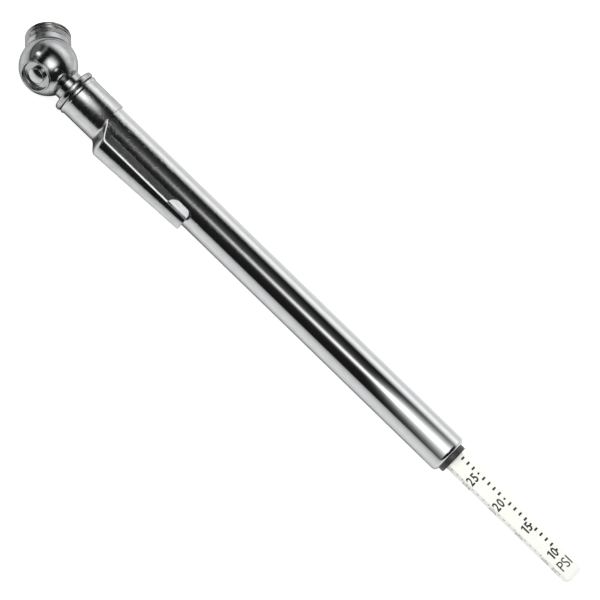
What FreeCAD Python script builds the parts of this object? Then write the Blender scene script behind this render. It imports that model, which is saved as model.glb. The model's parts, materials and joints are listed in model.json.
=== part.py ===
import FreeCAD, Part
import math
import os
import re

import Sketcher

# Pencil tire pressure gauge, as a parametric FreeCAD document.
#
# Row frame: millimetres, +Z up, +X along the tube from the head to the tip of the indicator bar.
# The origin is the centre of the chuck's mouth, where a tyre valve enters.
#
# Most pieces are modelled in the barrel's own frame, whose origin is the centre of the head's ball:
# its Z runs along the tube and its X points where the pocket clip and the bleed boss point.
# The pieces of the chuck are modelled in the chuck's frame: its origin is the mouth's centre and its
# Z runs out of the mouth. Two Placements carry both frames to the row frame.

App = FreeCAD

doc = App.newDocument("tire_pressure_gauge")


# ---------------------------------------------------------------- driving dimensions

SIZES = {
    "running_gap": (0.1, "radial clearance of a piece that slides"),
    "fit_gap": (0.03, "radial clearance of a piece that is pressed or screwed home"),
    # attitude
    "chuck_angle": (53.5, "degrees between the tube's axis and the chuck's, away from the tube"),
    "roll_angle": (11.0, "degrees that the gauge is rolled about its tube as it lies"),
    "bar_roll": (38.0, "degrees from the clip's direction to a face of the bar"),
    # head
    "ball_radius": (6.75, "ball of the head"),
    "chuck_reach": (9.0, "ball centre to the chuck's mouth"),
    "chuck_radius": (5.3, "outside of the chuck"),
    "boss_radius": (3.75, "outside of the bleed boss"),
    "boss_reach": (6.0, "ball centre to the boss's rim"),
    "dish_radius": (3.4, "dish in the boss's face"),
    "dish_depth": (1.3, "dish in the boss's face"),
    "dish_rounding": (0.5, "rounding of the dish's bottom edge"),
    "neck_radius": (3.55, "neck between ball and flange"),
    "neck_reach": (7.3, "ball centre to the flange"),
    "flange_radius": (5.5, "flange that stops the tube"),
    "flange_width": (1.5, "flange that stops the tube"),
    "flange_rounding": (0.6, "rounding of the flange's two edges"),
    "spigot_length": (8.0, "spigot inside the tube"),
    "air_radius": (1.25, "main air drilling, along the tube"),
    "vent_radius": (0.6, "air drilling beside the depressor pin"),
    "vent_offset": (1.5, "that drilling's distance from the chuck's axis"),
    # valve chuck
    "valve_radius": (4.1, "bore that takes the valve stem"),
    "valve_depth": (4.8, "mouth to the seal's face"),
    "ring_collar": (3.2, "ridged collar of the chuck ring, outside the casting"),
    "ring_radius": (4.65, "threaded sleeve of the chuck ring"),
    "ridge_pitch": (0.8, "ridges of the collar, counted from the mouth"),
    "ridge_depth": (0.22, "groove between two ridges"),
    "ridge_count": (3, "ridges of the collar"),
    "seal_width": (1.5, "thickness of the rubber seal"),
    "seal_hole": (2.2, "radius of the seal's hole"),
    "pin_radius": (0.8, "depressor pin"),
    "pin_seat": (1.5, "depth of the depressor pin's seat in the casting"),
    "nib_radius": (1.9, "outside of the bleed nib"),
    "nib_dome": (3.5, "radius of the dome on the nib's end"),
    "nib_reach": (6.2, "ball centre to the top of that dome"),
    "nib_stem_radius": (0.9, "stem of the bleed nib"),
    "nib_stem": (1.2, "length of that stem"),
    # gasket on the spigot
    "gasket_wire": (1.0, "diameter of the gasket's section"),
    "gasket_reach": (3.4, "tube's end to the gasket's groove"),
    "gasket_groove": (1.5, "width of the gasket's groove"),
    # tube
    "tube_radius": (4.75, "outside of the tube"),
    "tube_wall": (0.4, "wall of the tube"),
    "tube_length": (116.8, "length of the tube"),
    "tube_seat": (0.1, "flange to the tube's end"),
    # guide bushing
    "nose_radius": (3.65, "nose of the bushing, outside the tube"),
    "nose_length": (1.35, "nose of the bushing, outside the tube"),
    "nose_chamfer": (0.3, "edge of that nose"),
    "guide_length": (4.0, "shoulder of the bushing, inside the tube"),
    "leaf_width": (2.4, "brake leaf"),
    "leaf_thickness": (0.15, "brake leaf"),
    "leaf_length": (3.2, "brake leaf"),
    "leaf_bow": (0.3, "rise of the brake leaf"),
    # pocket clip
    "band_offset": (0.05, "tube's end to the clip's band"),
    "band_length": (9.5, "band of the clip"),
    "sheet": (0.4, "thickness of the clip's sheet"),
    "lip_radius": (0.25, "bead at the band's front edge"),
    "root_gap": (0.06, "band to tongue, where the tongue flexes"),
    "tongue_length": (28.4, "band to the tongue's tip"),
    "tongue_rise": (9.2, "tube's axis to the tongue's crown, at the top of its ramp"),
    "tongue_fall": (7.8, "tube's axis to the tongue's crown, at its tip"),
    "ramp_length": (3.4, "ramp from the band to the top"),
    "crown_radius": (3.92, "section of the tongue"),
    "root_width": (5.5, "width of the tongue at the top of its ramp"),
    "root_flare": (2.4, "extra width of the tongue where it meets the band"),
    "tip_width": (4.1, "width of the tongue at its tip"),
    "ear_length": (5.6, "turned-down ears at the tongue's tip"),
    "ear_inset": (0.1, "tongue's tip to its ears"),
    "ear_gap": (0.15, "ears to the tube"),
    # indicator
    "bar_side": (4.3, "side of the square bar"),
    "bar_proud": (37.4, "bar standing out of the bushing, as it lies at its reading"),
    "bar_length": (99.6, "length of the bar"),
    "bar_rounding": (1.2, "rounding of the bar's tip"),
    "tenon_radius": (1.5, "turned-down inner end of the bar"),
    "stop_radius": (3.2, "stop collar"),
    "stop_length": (3.2, "stop collar"),
    "cross_radius": (0.4, "cross pin of the stop collar"),
    # piston
    "hub_radius": (3.2, "hub of the piston, inside the spring"),
    "hub_length": (4.0, "hub of the piston, inside the spring"),
    "piston_flange": (1.2, "flange of the piston"),
    "cup_base": (0.9, "base of the cup"),
    "cup_lip": (2.6, "length of the cup's lip"),
    "cup_wall": (0.7, "wall of the cup's lip"),
    "plate_radius": (2.9, "plate inside the cup"),
    "plate_width": (0.6, "plate inside the cup"),
    "screw_radius": (1.0, "piston screw"),
    "screw_length": (4.2, "piston screw, under its head"),
    "screw_head_radius": (1.9, "head of the piston screw"),
    "screw_head": (1.0, "head of the piston screw"),
    "screw_slot": (0.5, "width and depth of the screw's slot"),
    "push_gap": (0.05, "piston's hub to the bar's stop"),
    # spring
    "wire_radius": (0.25, "wire of the main spring"),
    "coil_radius": (3.85, "main spring, to the middle of its wire"),
    "coil_count": (34, "turns of the main spring"),
    "washer_hole": (3.4, "hole of the spring's seat washer"),
    "washer_width": (0.5, "thickness of the spring's seat washer"),
}

DERIVED = {
    "tube_bore": "tube_radius - tube_wall",
    "band_radius": "tube_radius + sheet",
    # stations along the tube's axis, from the ball's centre
    "flange_end": "neck_reach + flange_width",
    "spigot_end": "flange_end + spigot_length",
    "tube_start": "flange_end + tube_seat",
    "tube_end": "tube_start + tube_length",
    "gasket_start": "tube_start + gasket_reach",
    "band_start": "tube_start + band_offset",
    "band_end": "band_start + band_length",
    "shoulder_end": "tube_end - tube_wall",
    "shoulder_start": "shoulder_end - guide_length",
    "washer_start": "shoulder_start - washer_width",
    "nose_end": "tube_end + nose_length",
    "bar_tip": "nose_end + bar_proud",
    "bar_start": "bar_tip - bar_length",
    "hub_end": "bar_start - push_gap",
    "piston_top": "hub_end - hub_length",
    "piston_base": "piston_top - piston_flange",
    "cup_face": "piston_base - cup_base",
    "plate_face": "cup_face - plate_width",
    # stations along the chuck's axis, from its mouth
    "seal_face": "-valve_depth",
    "socket_floor": "seal_face - seal_width",
    # stations along the boss's axis, from the ball's centre
    "dish_floor": "boss_reach - dish_depth",
    "nib_foot": "dish_floor - nib_stem",
}

sheet = doc.addObject("Spreadsheet::Sheet", "Sizes")
for row, (alias, (value, note)) in enumerate(SIZES.items(), start=1):
    sheet.set(f"A{row}", alias)
    sheet.set(f"B{row}", str(value))
    sheet.set(f"C{row}", note)
    sheet.setAlias(f"B{row}", alias)
doc.recompute()


def cell(formula):
    """A formula over the names above, written for setExpression."""

    def full_name(word):
        holder = "Sizes" if word.group() in SIZES else "Derived"
        return f"{holder}.{word.group()}"

    return re.sub(r"[a-z_]+", full_name, formula)


derived = doc.addObject("App::VarSet", "Derived")
for name, formula in DERIVED.items():
    derived.addProperty("App::PropertyFloat", name, "Derived")
    derived.setExpression(name, cell(formula))
doc.recompute()


def size(name):
    """The value of a driving dimension or of a length derived from them."""
    if name in SIZES:
        return float(sheet.get(name))
    return getattr(derived, name)


# ---------------------------------------------------------------- frames

roll = math.radians(size("roll_angle"))
lean = math.radians(size("chuck_angle"))

tube_axis = App.Vector(1, 0, 0)
clip_axis = App.Vector(0, -math.cos(roll), math.sin(roll))
side_axis = tube_axis.cross(clip_axis)
chuck_axis = tube_axis * -math.cos(lean) - clip_axis * math.sin(lean)

ball_centre = chuck_axis * -size("chuck_reach")
barrel_frame = App.Placement(ball_centre, App.Rotation(clip_axis, side_axis, tube_axis, "ZXY"))
chuck_frame = App.Placement(
    App.Vector(0, 0, 0), App.Rotation(side_axis.cross(chuck_axis), side_axis, chuck_axis, "ZXY")
)
bar_turn = App.Rotation(App.Vector(0, 0, 1), size("bar_roll"))
bar_frame = barrel_frame.multiply(App.Placement(App.Vector(0, 0, 0), bar_turn))

# the chuck's frame and the clip's direction, seen from the barrel's frame
chuck_in_barrel = barrel_frame.inverse().multiply(chuck_frame)
boss_in_barrel = App.Placement(App.Vector(0, 0, 0), App.Rotation(App.Vector(0, 1, 0), 90))


# ---------------------------------------------------------------- helpers

sub_parts = []


def sub_part(item, label, placement):
    """Name a finished piece, put it in its place and keep it for export."""
    item.Label = label
    item.Placement = placement
    sub_parts.append(item)
    return item


def bind(item, **formulas):
    """Bind properties of an object to formulas over the sheet."""
    for name, formula in formulas.items():
        item.setExpression(name, cell(formula))
    return item


def origin_feature(body, role):
    """The plane or axis of a body's own origin that has this role."""
    return next(o for o in body.Origin.OriginFeatures if o.Role == role)


def new_sketch(body, name, plane="XZ_Plane"):
    """An empty sketch on one of the body's origin planes."""
    sketch = body.newObject("Sketcher::SketchObject", name)
    sketch.AttachmentSupport = [(origin_feature(body, plane), "")]
    sketch.MapMode = "FlatFace"
    return sketch


def hold(sketch, kind, line, formula):
    """Hold the first point of a line at a distance from the sketch's origin."""
    if formula == "0":
        axis = -2 if kind == "DistanceX" else -1
        sketch.addConstraint(Sketcher.Constraint("PointOnObject", line, 1, axis))
        return
    index = sketch.addConstraint(Sketcher.Constraint(kind, -1, 1, line, 1, 1.0))
    sketch.setExpression(f"Constraints[{index}]", cell(formula))


def outline(sketch, corners):
    """Add a closed outline of straight lines; each corner is a pair of formulas."""
    count = len(corners)
    start = [
        App.Vector(math.cos(2 * math.pi * k / count), math.sin(2 * math.pi * k / count), 0)
        for k in range(count)
    ]
    for k in range(count):
        sketch.addGeometry(Part.LineSegment(start[k], start[(k + 1) % count]), False)
    for k in range(count):
        sketch.addConstraint(Sketcher.Constraint("Coincident", k, 2, (k + 1) % count, 1))
    for k, (across, up) in enumerate(corners):
        hold(sketch, "DistanceX", k, across)
        hold(sketch, "DistanceY", k, up)
    return sketch


def rectangle(sketch, left, bottom, right, top):
    """Add a rectangle whose sides lie at four formulas."""
    return outline(sketch, [(left, bottom), (right, bottom), (right, top), (left, top)])


def circle(sketch, radius, drop="0"):
    """Add a circle whose middle lies a drop below the sketch's origin."""
    sketch.addGeometry(Part.Circle(App.Vector(0, -1, 0), App.Vector(0, 0, 1), 0.5), False)
    if drop == "0":
        sketch.addConstraint(Sketcher.Constraint("Coincident", 0, 3, -1, 1))
    else:
        sketch.addConstraint(Sketcher.Constraint("PointOnObject", 0, 3, -2))
        index = sketch.addConstraint(Sketcher.Constraint("DistanceY", 0, 3, -1, 1, 1.0))
        sketch.setExpression(f"Constraints[{index}]", cell(drop))
    index = sketch.addConstraint(Sketcher.Constraint("Radius", 0, 0.5))
    sketch.setExpression(f"Constraints[{index}]", cell(radius))
    return sketch


def revolved(name, corners):
    """A body turned round its own Z from an outline of (radius, height) formulas."""
    body = doc.addObject("PartDesign::Body", name)
    sketch = outline(new_sketch(body, name + "_profile"), corners)
    turn = body.newObject("PartDesign::Revolution", name + "_turn")
    turn.Profile = sketch
    turn.ReferenceAxis = (sketch, ["V_Axis"])
    turn.Angle = 360
    body.Tip = turn
    return body


def add(body, kind, name, sketch, **settings):
    """Add one sketch-based feature to a body and make it the tip."""
    feature = body.newObject("PartDesign::" + kind, name)
    feature.Profile = sketch
    for key, value in settings.items():
        setattr(feature, key, value)
    body.Tip = feature
    return feature


def circles_at(shape, height, radius):
    """Names of the circular edges round Z at a height and a radius."""
    names = []
    for number, edge in enumerate(shape.Edges, start=1):
        curve = edge.Curve
        if not isinstance(curve, Part.Circle):
            continue
        level = abs(curve.Center.z - height) < 1e-6
        if level and abs(curve.Radius - radius) < 1e-6:
            names.append(f"Edge{number}")
    return names


def dress(body, kind, name, edges, **formulas):
    """Fillet or chamfer some edges of the body's tip."""
    base = body.Tip
    feature = body.newObject("PartDesign::" + kind, name)
    feature.Base = (base, edges)
    bind(feature, **formulas)
    body.Tip = feature
    return feature


def primitive(kind, name, placement=None, **formulas):
    """A Part primitive with its sizes bound to the sheet."""
    item = doc.addObject("Part::" + kind, name)
    bind(item, **formulas)
    if placement:
        item.Placement = placement
    return item


def rounded_disc(name, placement, rounding, **formulas):
    """Add a cylinder whose two round edges are rounded."""
    disc = primitive("Cylinder", name + "_disc", placement, **formulas)
    doc.recompute()
    shaped = doc.addObject("Part::Fillet", name)
    shaped.Base = disc
    shaped.Edges = [
        (number, rounding, rounding)
        for number, edge in enumerate(disc.Shape.Edges, start=1)
        if isinstance(edge.Curve, Part.Circle)
    ]
    return shaped


def joined(name, pieces):
    """One solid of several primitives."""
    item = doc.addObject("Part::MultiFuse", name)
    item.Shapes = pieces
    item.Refine = True
    return item


def cut(name, base, tool):
    """A primitive or join with another one taken away."""
    item = doc.addObject("Part::Cut", name)
    item.Base = base
    item.Tool = tool
    item.Refine = True
    return item


def along_chuck(distance):
    """A Placement on the chuck's axis, in the barrel's frame, measured outwards from the mouth."""
    return chuck_in_barrel.multiply(App.Placement(App.Vector(0, 0, distance), App.Rotation()))


def along_boss(distance):
    """A Placement on the boss's axis, in the barrel's frame, measured outwards from the ball's centre."""
    return boss_in_barrel.multiply(App.Placement(App.Vector(0, 0, distance), App.Rotation()))


def along_tube(distance):
    """A Placement on the tube's axis, in the barrel's frame, measured from the ball's centre."""
    return App.Placement(App.Vector(0, 0, distance), App.Rotation())


# ---------------------------------------------------------------- head


def make_head():
    """Ball, chuck stub, bleed boss, neck, flange and spigot, with their drillings."""
    ball = primitive("Sphere", "ball", along_boss(0), Radius="ball_radius")
    stub = primitive(
        "Cylinder", "chuck_stub", along_chuck(-size("chuck_reach")),
        Radius="chuck_radius", Height="chuck_reach - ring_collar",
    )
    boss = primitive("Cylinder", "boss", along_boss(0), Radius="boss_radius", Height="boss_reach")
    neck = primitive("Cylinder", "neck", Radius="neck_radius", Height="flange_end")
    flange = rounded_disc(
        "flange", along_tube(size("neck_reach")), size("flange_rounding"),
        Radius="flange_radius", Height="flange_width",
    )
    spigot = primitive(
        "Cylinder", "spigot", along_tube(size("flange_end")),
        Radius="tube_bore - fit_gap", Height="spigot_length",
    )
    solid = joined("head_solid", [ball, stub, boss, neck, flange, spigot])

    face = primitive(
        "Cylinder", "boss_face", along_boss(size("boss_reach")),
        Radius="boss_radius", Height="ball_radius",
    )
    dish = rounded_disc(
        "boss_dish", along_boss(size("dish_floor")), size("dish_rounding"),
        Radius="dish_radius", Height="dish_depth + 2 * dish_rounding",
    )
    nib_hole = primitive(
        "Cylinder", "nib_hole", along_boss(size("nib_foot")),
        Radius="nib_stem_radius + fit_gap", Height="nib_stem + dish_depth",
    )
    socket = primitive(
        "Cylinder", "seal_socket", along_chuck(size("socket_floor")),
        Radius="ring_radius + fit_gap", Height="valve_depth + seal_width",
    )
    pin_hole = primitive(
        "Cylinder", "pin_hole", along_chuck(size("socket_floor") - size("pin_seat")),
        Radius="pin_radius + fit_gap", Height="pin_seat + seal_width",
    )
    vent_start = along_chuck(-size("chuck_reach") - size("vent_offset"))
    aside = App.Placement(App.Vector(-size("vent_offset"), 0, 0), App.Rotation())
    vent = primitive(
        "Cylinder", "vent_drilling", vent_start.multiply(aside),
        Radius="vent_radius", Height="chuck_reach + vent_offset - valve_depth",
    )
    drilling = primitive(
        "Cylinder", "air_drilling", along_tube(-size("air_radius")),
        Radius="air_radius", Height="spigot_end + 2 * air_radius",
    )
    groove_outer = primitive(
        "Cylinder", "groove_outer", along_tube(size("gasket_start")),
        Radius="tube_radius", Height="gasket_groove",
    )
    groove_inner = primitive(
        "Cylinder", "groove_inner", along_tube(size("gasket_start")),
        Radius="tube_bore - fit_gap - gasket_wire", Height="gasket_groove",
    )
    groove = cut("gasket_groove_ring", groove_outer, groove_inner)
    tools = [face, dish, nib_hole, socket, pin_hole, vent, drilling, groove]
    head = cut("head", solid, joined("head_drillings", tools))
    sub_part(head, "head_casting", barrel_frame)


def make_chuck():
    """Ring, seal and depressor pin of the valve chuck, all in the chuck's own frame."""
    ring = revolved("ring", [
        ("valve_radius", "seal_face"), ("ring_radius", "seal_face"),
        ("ring_radius", "-ring_collar"), ("chuck_radius", "-ring_collar"),
        ("chuck_radius", "0"), ("valve_radius", "0"),
    ])
    notch = outline(new_sketch(ring, "ridge_notch"), [
        ("chuck_radius - ridge_depth", "-ridge_pitch"),
        ("chuck_radius + ridge_depth", "-ridge_pitch - 2 * ridge_depth"),
        ("chuck_radius + ridge_depth", "-ridge_pitch + 2 * ridge_depth"),
    ])
    groove = add(ring, "Groove", "ridge_groove", notch)
    groove.ReferenceAxis = (notch, ["V_Axis"])
    groove.Angle = 360
    pattern = ring.newObject("PartDesign::LinearPattern", "ridge_pattern")
    pattern.Originals = [groove]
    pattern.Direction = (origin_feature(ring, "Z_Axis"), [""])
    pattern.Reversed = True
    bind(pattern, Length="ridge_pitch * ( ridge_count - 2 )", Occurrences="ridge_count - 1")
    ring.Tip = pattern
    sub_part(ring, "chuck_ring", chuck_frame)

    seal = revolved("seal", [
        ("seal_hole", "socket_floor"), ("ring_radius", "socket_floor"),
        ("ring_radius", "seal_face"), ("seal_hole", "seal_face"),
    ])
    sub_part(seal, "chuck_seal", chuck_frame)

    pin = revolved("pin", [
        ("0", "socket_floor - pin_seat"), ("pin_radius", "socket_floor - pin_seat"),
        ("pin_radius", "seal_face - pin_radius / 2"), ("pin_radius / 2", "seal_face"),
        ("0", "seal_face"),
    ])
    sub_part(pin, "depressor_pin", chuck_frame)


def make_nib():
    """Bleed nib, standing in the dish of the boss: a stem under a button with a gently domed end."""
    button = primitive(
        "Cylinder", "nib_button", along_boss(size("dish_floor")),
        Radius="nib_radius", Height="nib_reach - dish_floor",
    )
    dome = primitive(
        "Sphere", "nib_dome", along_boss(size("nib_reach") - size("nib_dome")), Radius="nib_dome"
    )
    head = doc.addObject("Part::Common", "nib_head")
    head.Base, head.Tool = button, dome
    stem = primitive(
        "Cylinder", "nib_stem", along_boss(size("nib_foot")),
        Radius="nib_stem_radius", Height="nib_stem + dish_depth / 2",
    )
    sub_part(joined("nib", [head, stem]), "deflator_nib", barrel_frame)


def make_gasket():
    """Round-section ring in the spigot's groove."""
    gasket = primitive(
        "Torus", "gasket",
        Radius1="tube_bore - fit_gap - gasket_wire / 2", Radius2="gasket_wire / 2 - fit_gap",
    )
    middle = size("gasket_start") + size("gasket_groove") / 2
    sub_part(gasket, "neck_gasket", barrel_frame.multiply(along_tube(middle)))


# ---------------------------------------------------------------- tube and bushing


def make_tube():
    """Drawn tube, with its far end rolled in round the bushing's nose."""
    lip = "nose_radius + fit_gap"
    tube = revolved("tube", [
        ("tube_bore", "tube_start"), ("tube_radius", "tube_start"),
        ("tube_radius", "tube_end"), (lip, "tube_end"),
        (lip, "shoulder_end"), ("tube_bore", "shoulder_end"),
    ])
    doc.recompute()
    rolled = "tube_radius - nose_radius - 2 * fit_gap"
    outer = circles_at(tube.Shape, size("tube_end"), size("tube_radius"))
    dress(tube, "Fillet", "rolled_end", outer, Radius=rolled)
    doc.recompute()
    inner = circles_at(tube.Shape, size("shoulder_end"), size("tube_bore"))
    dress(tube, "Fillet", "rolled_inside", inner, Radius=f"{rolled} - tube_wall")
    sub_part(tube, "barrel_tube", barrel_frame)


def make_bushing():
    """Guide bushing with its square hole and the recess for the brake leaf, and that leaf."""
    corner = "( tube_radius - nose_radius - tube_wall )"
    bushing = revolved("bushing", [
        ("0", "shoulder_start"), ("tube_bore - fit_gap", "shoulder_start"),
        ("tube_bore - fit_gap", f"shoulder_end - {corner}"),
        ("nose_radius", f"shoulder_end - {corner} / 2"),
        ("nose_radius", "nose_end - nose_chamfer"),
        ("nose_radius - nose_chamfer", "nose_end"), ("0", "nose_end"),
    ])
    half = "( bar_side / 2 + running_gap )"
    hole = new_sketch(bushing, "bar_hole", "XY_Plane")
    rectangle(hole, f"-{half}", f"-{half}", half, half)
    pocket = add(bushing, "Pocket", "bar_pocket", hole, Reversed=True)
    bind(pocket, Length="nose_end + nose_length")
    depth = f"{half} + leaf_bow + 2 * leaf_thickness"
    recess = new_sketch(bushing, "leaf_recess", "XY_Plane")
    rectangle(recess, "0", "-leaf_width / 2 - fit_gap", depth, "leaf_width / 2 + fit_gap")
    leaf_pocket = add(bushing, "Pocket", "leaf_pocket", recess, Reversed=True)
    bind(leaf_pocket, Length="shoulder_start + leaf_length + 2 * fit_gap")
    sub_part(bushing, "end_bushing", bar_frame)

    leaf = doc.addObject("PartDesign::Body", "leaf")
    floor = f"{depth} - fit_gap"
    top = f"{floor} - leaf_bow"
    near = "shoulder_start + fit_gap"
    far = f"{near} + leaf_length"
    bend = "leaf_length * 0.35"
    strip = outline(new_sketch(leaf, "leaf_side"), [
        (floor, near), (top, f"{near} + {bend}"), (top, f"{far} - {bend}"), (floor, far),
        (f"{floor} - leaf_thickness", far), (f"{top} - leaf_thickness", f"{far} - {bend}"),
        (f"{top} - leaf_thickness", f"{near} + {bend}"), (f"{floor} - leaf_thickness", near),
    ])
    pad = add(leaf, "Pad", "leaf_pad", strip, SideType="Symmetric")
    bind(pad, Length="leaf_width")
    sub_part(leaf, "brake_leaf", bar_frame)


# ---------------------------------------------------------------- pocket clip


def make_band():
    """Band of the clip, with a bead at its front edge."""
    bead = "band_radius + lip_radius / 2"
    band = revolved("band", [
        ("tube_radius", "band_start"), ("band_radius", "band_start"),
        (bead, "band_start + lip_radius"), (bead, "band_start + 2 * lip_radius"),
        ("band_radius", "band_start + 3 * lip_radius"), ("band_radius", "band_end"),
        ("tube_radius", "band_end"),
    ])
    sub_part(band, "clip_band", barrel_frame)


def crown_section(along, crown, width, radius):
    """Closed wire across the tongue: a curved strip whose crown stands at a height over the axis."""
    half = math.asin(width / 2 / radius)
    middle = App.Vector(crown - radius, 0, along)

    def arc(reach, start, end):
        points = [
            middle + App.Vector(math.cos(turn) * reach, math.sin(turn) * reach, 0)
            for turn in (start, 0, end)
        ]
        return Part.Arc(*points).toShape()

    outer = arc(radius, -half, half)
    inner = arc(radius - size("sheet"), half, -half)
    far_edge = Part.LineSegment(outer.lastVertex().Point, inner.firstVertex().Point)
    near_edge = Part.LineSegment(inner.lastVertex().Point, outer.firstVertex().Point)
    return Part.Wire([outer, far_edge.toShape(), inner, near_edge.toShape()])


def make_blade():
    """Ramp up from the band and the long crowned blade, lofted through curved sections."""
    ramp_steps = 6
    blade_steps = 3
    start = size("band_end") + size("root_gap")
    ramp_end = start + size("ramp_length")
    tip = size("band_end") + size("tongue_length")
    low, rise, fall = size("band_radius"), size("tongue_rise"), size("tongue_fall")
    wide, narrow = size("root_width"), size("tip_width")
    radius = size("crown_radius")
    sections = []
    for step in range(ramp_steps + 1):
        share = step / ramp_steps
        ease = share * share * (3 - 2 * share)
        along = start + (ramp_end - start) * share
        section_radius = low + (radius - low) * ease
        flared = wide + size("root_flare") * (1 - share) ** 2
        sections.append(crown_section(along, low + (rise - low) * ease, flared, section_radius))
    for step in range(1, blade_steps + 1):
        share = step / blade_steps
        along = ramp_end + (tip - ramp_end) * share
        crown = rise + (fall - rise) * share
        sections.append(crown_section(along, crown, wide + (narrow - wide) * share, radius))
    return Part.makeLoft(sections, True, True)


def make_ears():
    """Turned-down ears near the blade's tip, which rest just over the tube."""
    thickness = size("sheet")
    half_width = size("tip_width") / 2
    radius = size("crown_radius")
    edge = size("tongue_fall") - radius + math.sqrt(radius**2 - half_width**2)
    foot = math.sqrt((size("tube_radius") + size("ear_gap")) ** 2 - (half_width - thickness) ** 2)
    end = size("band_end") + size("tongue_length") - size("ear_inset")
    length = size("ear_length")
    ears = []
    for inside in (-half_width, half_width - thickness):
        corners = [
            App.Vector(edge, inside, end - length), App.Vector(foot, inside, end - length * 0.75),
            App.Vector(foot, inside, end - length * 0.25), App.Vector(edge, inside, end),
        ]
        ear = Part.Face(Part.makePolygon(corners + corners[:1]))
        ears.append(ear.extrude(App.Vector(0, thickness, 0)))
    return ears


def make_tongue():
    """Sprung tongue of the clip: blade and ears."""
    tongue = doc.addObject("Part::Feature", "tongue")
    tongue.Shape = make_blade().fuse(make_ears()).removeSplitter()
    sub_part(tongue, "clip_tongue", barrel_frame)


# ---------------------------------------------------------------- indicator


def make_bar():
    """Square bar with a rounded tip and a turned-down, cross-drilled inner end."""
    bar = doc.addObject("PartDesign::Body", "bar")
    square = new_sketch(bar, "bar_square", "XY_Plane")
    rectangle(square, "-bar_side / 2", "-bar_side / 2", "bar_side / 2", "bar_side / 2")
    pad = add(bar, "Pad", "bar_pad", square)
    bind(pad, Length="bar_length - stop_length")
    tenon = add(
        bar, "Pad", "bar_tenon", circle(new_sketch(bar, "tenon_circle", "XY_Plane"), "tenon_radius"),
        Reversed=True,
    )
    bind(tenon, Length="stop_length")
    cross = circle(new_sketch(bar, "cross_circle"), "cross_radius + fit_gap", "stop_length / 2")
    drilled = add(bar, "Pocket", "cross_hole", cross, SideType="Symmetric")
    bind(drilled, Length="4 * stop_radius")
    doc.recompute()
    tip = size("bar_length") - size("stop_length")
    rim = [
        f"Edge{number}"
        for number, edge in enumerate(bar.Shape.Edges, start=1)
        if all(abs(vertex.Point.z - tip) < 1e-6 for vertex in edge.Vertexes)
    ]
    dress(bar, "Fillet", "tip_rounding", rim, Radius="bar_rounding")
    shoulder = size("bar_start") + size("stop_length")
    sub_part(bar, "indicator_bar", bar_frame.multiply(along_tube(shoulder)))


def make_stop():
    """Collar on the bar's inner end and the cross pin that holds it."""
    reach = size("stop_radius")
    middle = size("stop_length") / 2
    across = App.Rotation(App.Vector(1, 0, 0), 90)
    collar = primitive("Cylinder", "collar", Radius="stop_radius", Height="stop_length - fit_gap")
    bore = primitive(
        "Cylinder", "collar_bore", Radius="tenon_radius + fit_gap", Height="stop_length",
    )
    cross = primitive(
        "Cylinder", "collar_cross", App.Placement(App.Vector(0, reach, middle), across),
        Radius="cross_radius + fit_gap", Height="2 * stop_radius",
    )
    stop_frame = bar_frame.multiply(along_tube(size("bar_start")))
    sub_part(cut("stop", collar, joined("collar_drillings", [bore, cross])), "bar_stop", stop_frame)

    inset = 3 * size("fit_gap")
    pin = primitive(
        "Cylinder", "cross_pin", Radius="cross_radius", Height="2 * stop_radius - 6 * fit_gap",
    )
    pin_place = App.Placement(App.Vector(0, reach - inset, middle), across)
    sub_part(pin, "bar_pin", stop_frame.multiply(pin_place))


# ---------------------------------------------------------------- piston and spring


def make_piston():
    """Follower, cup, plate and screw, which the air pushes along the tube."""
    hole = "screw_radius + fit_gap"
    hole_end = "plate_face + screw_length"
    rim = "tube_bore - 2 * running_gap"
    piston = revolved("piston", [
        (hole, "piston_base"), (rim, "piston_base"), (rim, "piston_top"),
        ("hub_radius", "piston_top"), ("hub_radius", "hub_end"), ("0", "hub_end"),
        ("0", hole_end), (hole, hole_end),
    ])
    sub_part(piston, "piston_body", barrel_frame)

    lip = "tube_bore - running_gap"
    cup = revolved("cup", [
        (hole, "cup_face"), (f"{lip} - cup_wall", "cup_face"),
        (f"{lip} - cup_wall / 2", "cup_face - cup_lip"), (lip, "cup_face - cup_lip"),
        (lip, "piston_base"), (hole, "piston_base"),
    ])
    sub_part(cup, "piston_cup", barrel_frame)

    plate = revolved("plate", [
        (hole, "plate_face"), ("plate_radius", "plate_face"),
        ("plate_radius", "cup_face"), (hole, "cup_face"),
    ])
    sub_part(plate, "cup_plate", barrel_frame)

    head_top = "plate_face - screw_head"
    screw_end = "plate_face + screw_length - 2 * fit_gap"
    screw = revolved("screw", [
        ("0", head_top), ("screw_head_radius", head_top), ("screw_head_radius", "plate_face"),
        ("screw_radius", "plate_face"), ("screw_radius", screw_end), ("0", screw_end),
    ])
    slot = new_sketch(screw, "slot_side")
    rectangle(slot, "-screw_slot / 2", head_top, "screw_slot / 2", f"{head_top} + screw_slot")
    channel = add(screw, "Pocket", "slot_pocket", slot, SideType="Symmetric")
    bind(channel, Length="4 * screw_head_radius")
    sub_part(screw, "piston_screw", barrel_frame)


def make_spring():
    """Seat washer against the bushing, and the main spring between it and the piston."""
    washer = revolved("washer", [
        ("washer_hole", "washer_start"), ("tube_bore - running_gap", "washer_start"),
        ("tube_bore - running_gap", "shoulder_start"), ("washer_hole", "shoulder_start"),
    ])
    sub_part(washer, "spring_washer", barrel_frame)

    wire = size("wire_radius")
    coil = size("coil_radius")
    first = size("piston_top") + wire + size("fit_gap")
    last = size("washer_start") - wire - size("fit_gap")
    pitch = (last - first) / size("coil_count")
    path = Part.Wire(Part.makeHelix(pitch, last - first, coil))
    section = Part.Wire(Part.makeCircle(wire, App.Vector(coil, 0, 0), App.Vector(0, 1, 0)))
    spring = doc.addObject("Part::Feature", "spring")
    spring.Shape = path.makePipeShell([section], True, True)
    sub_part(spring, "main_spring", barrel_frame.multiply(along_tube(first)))


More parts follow.
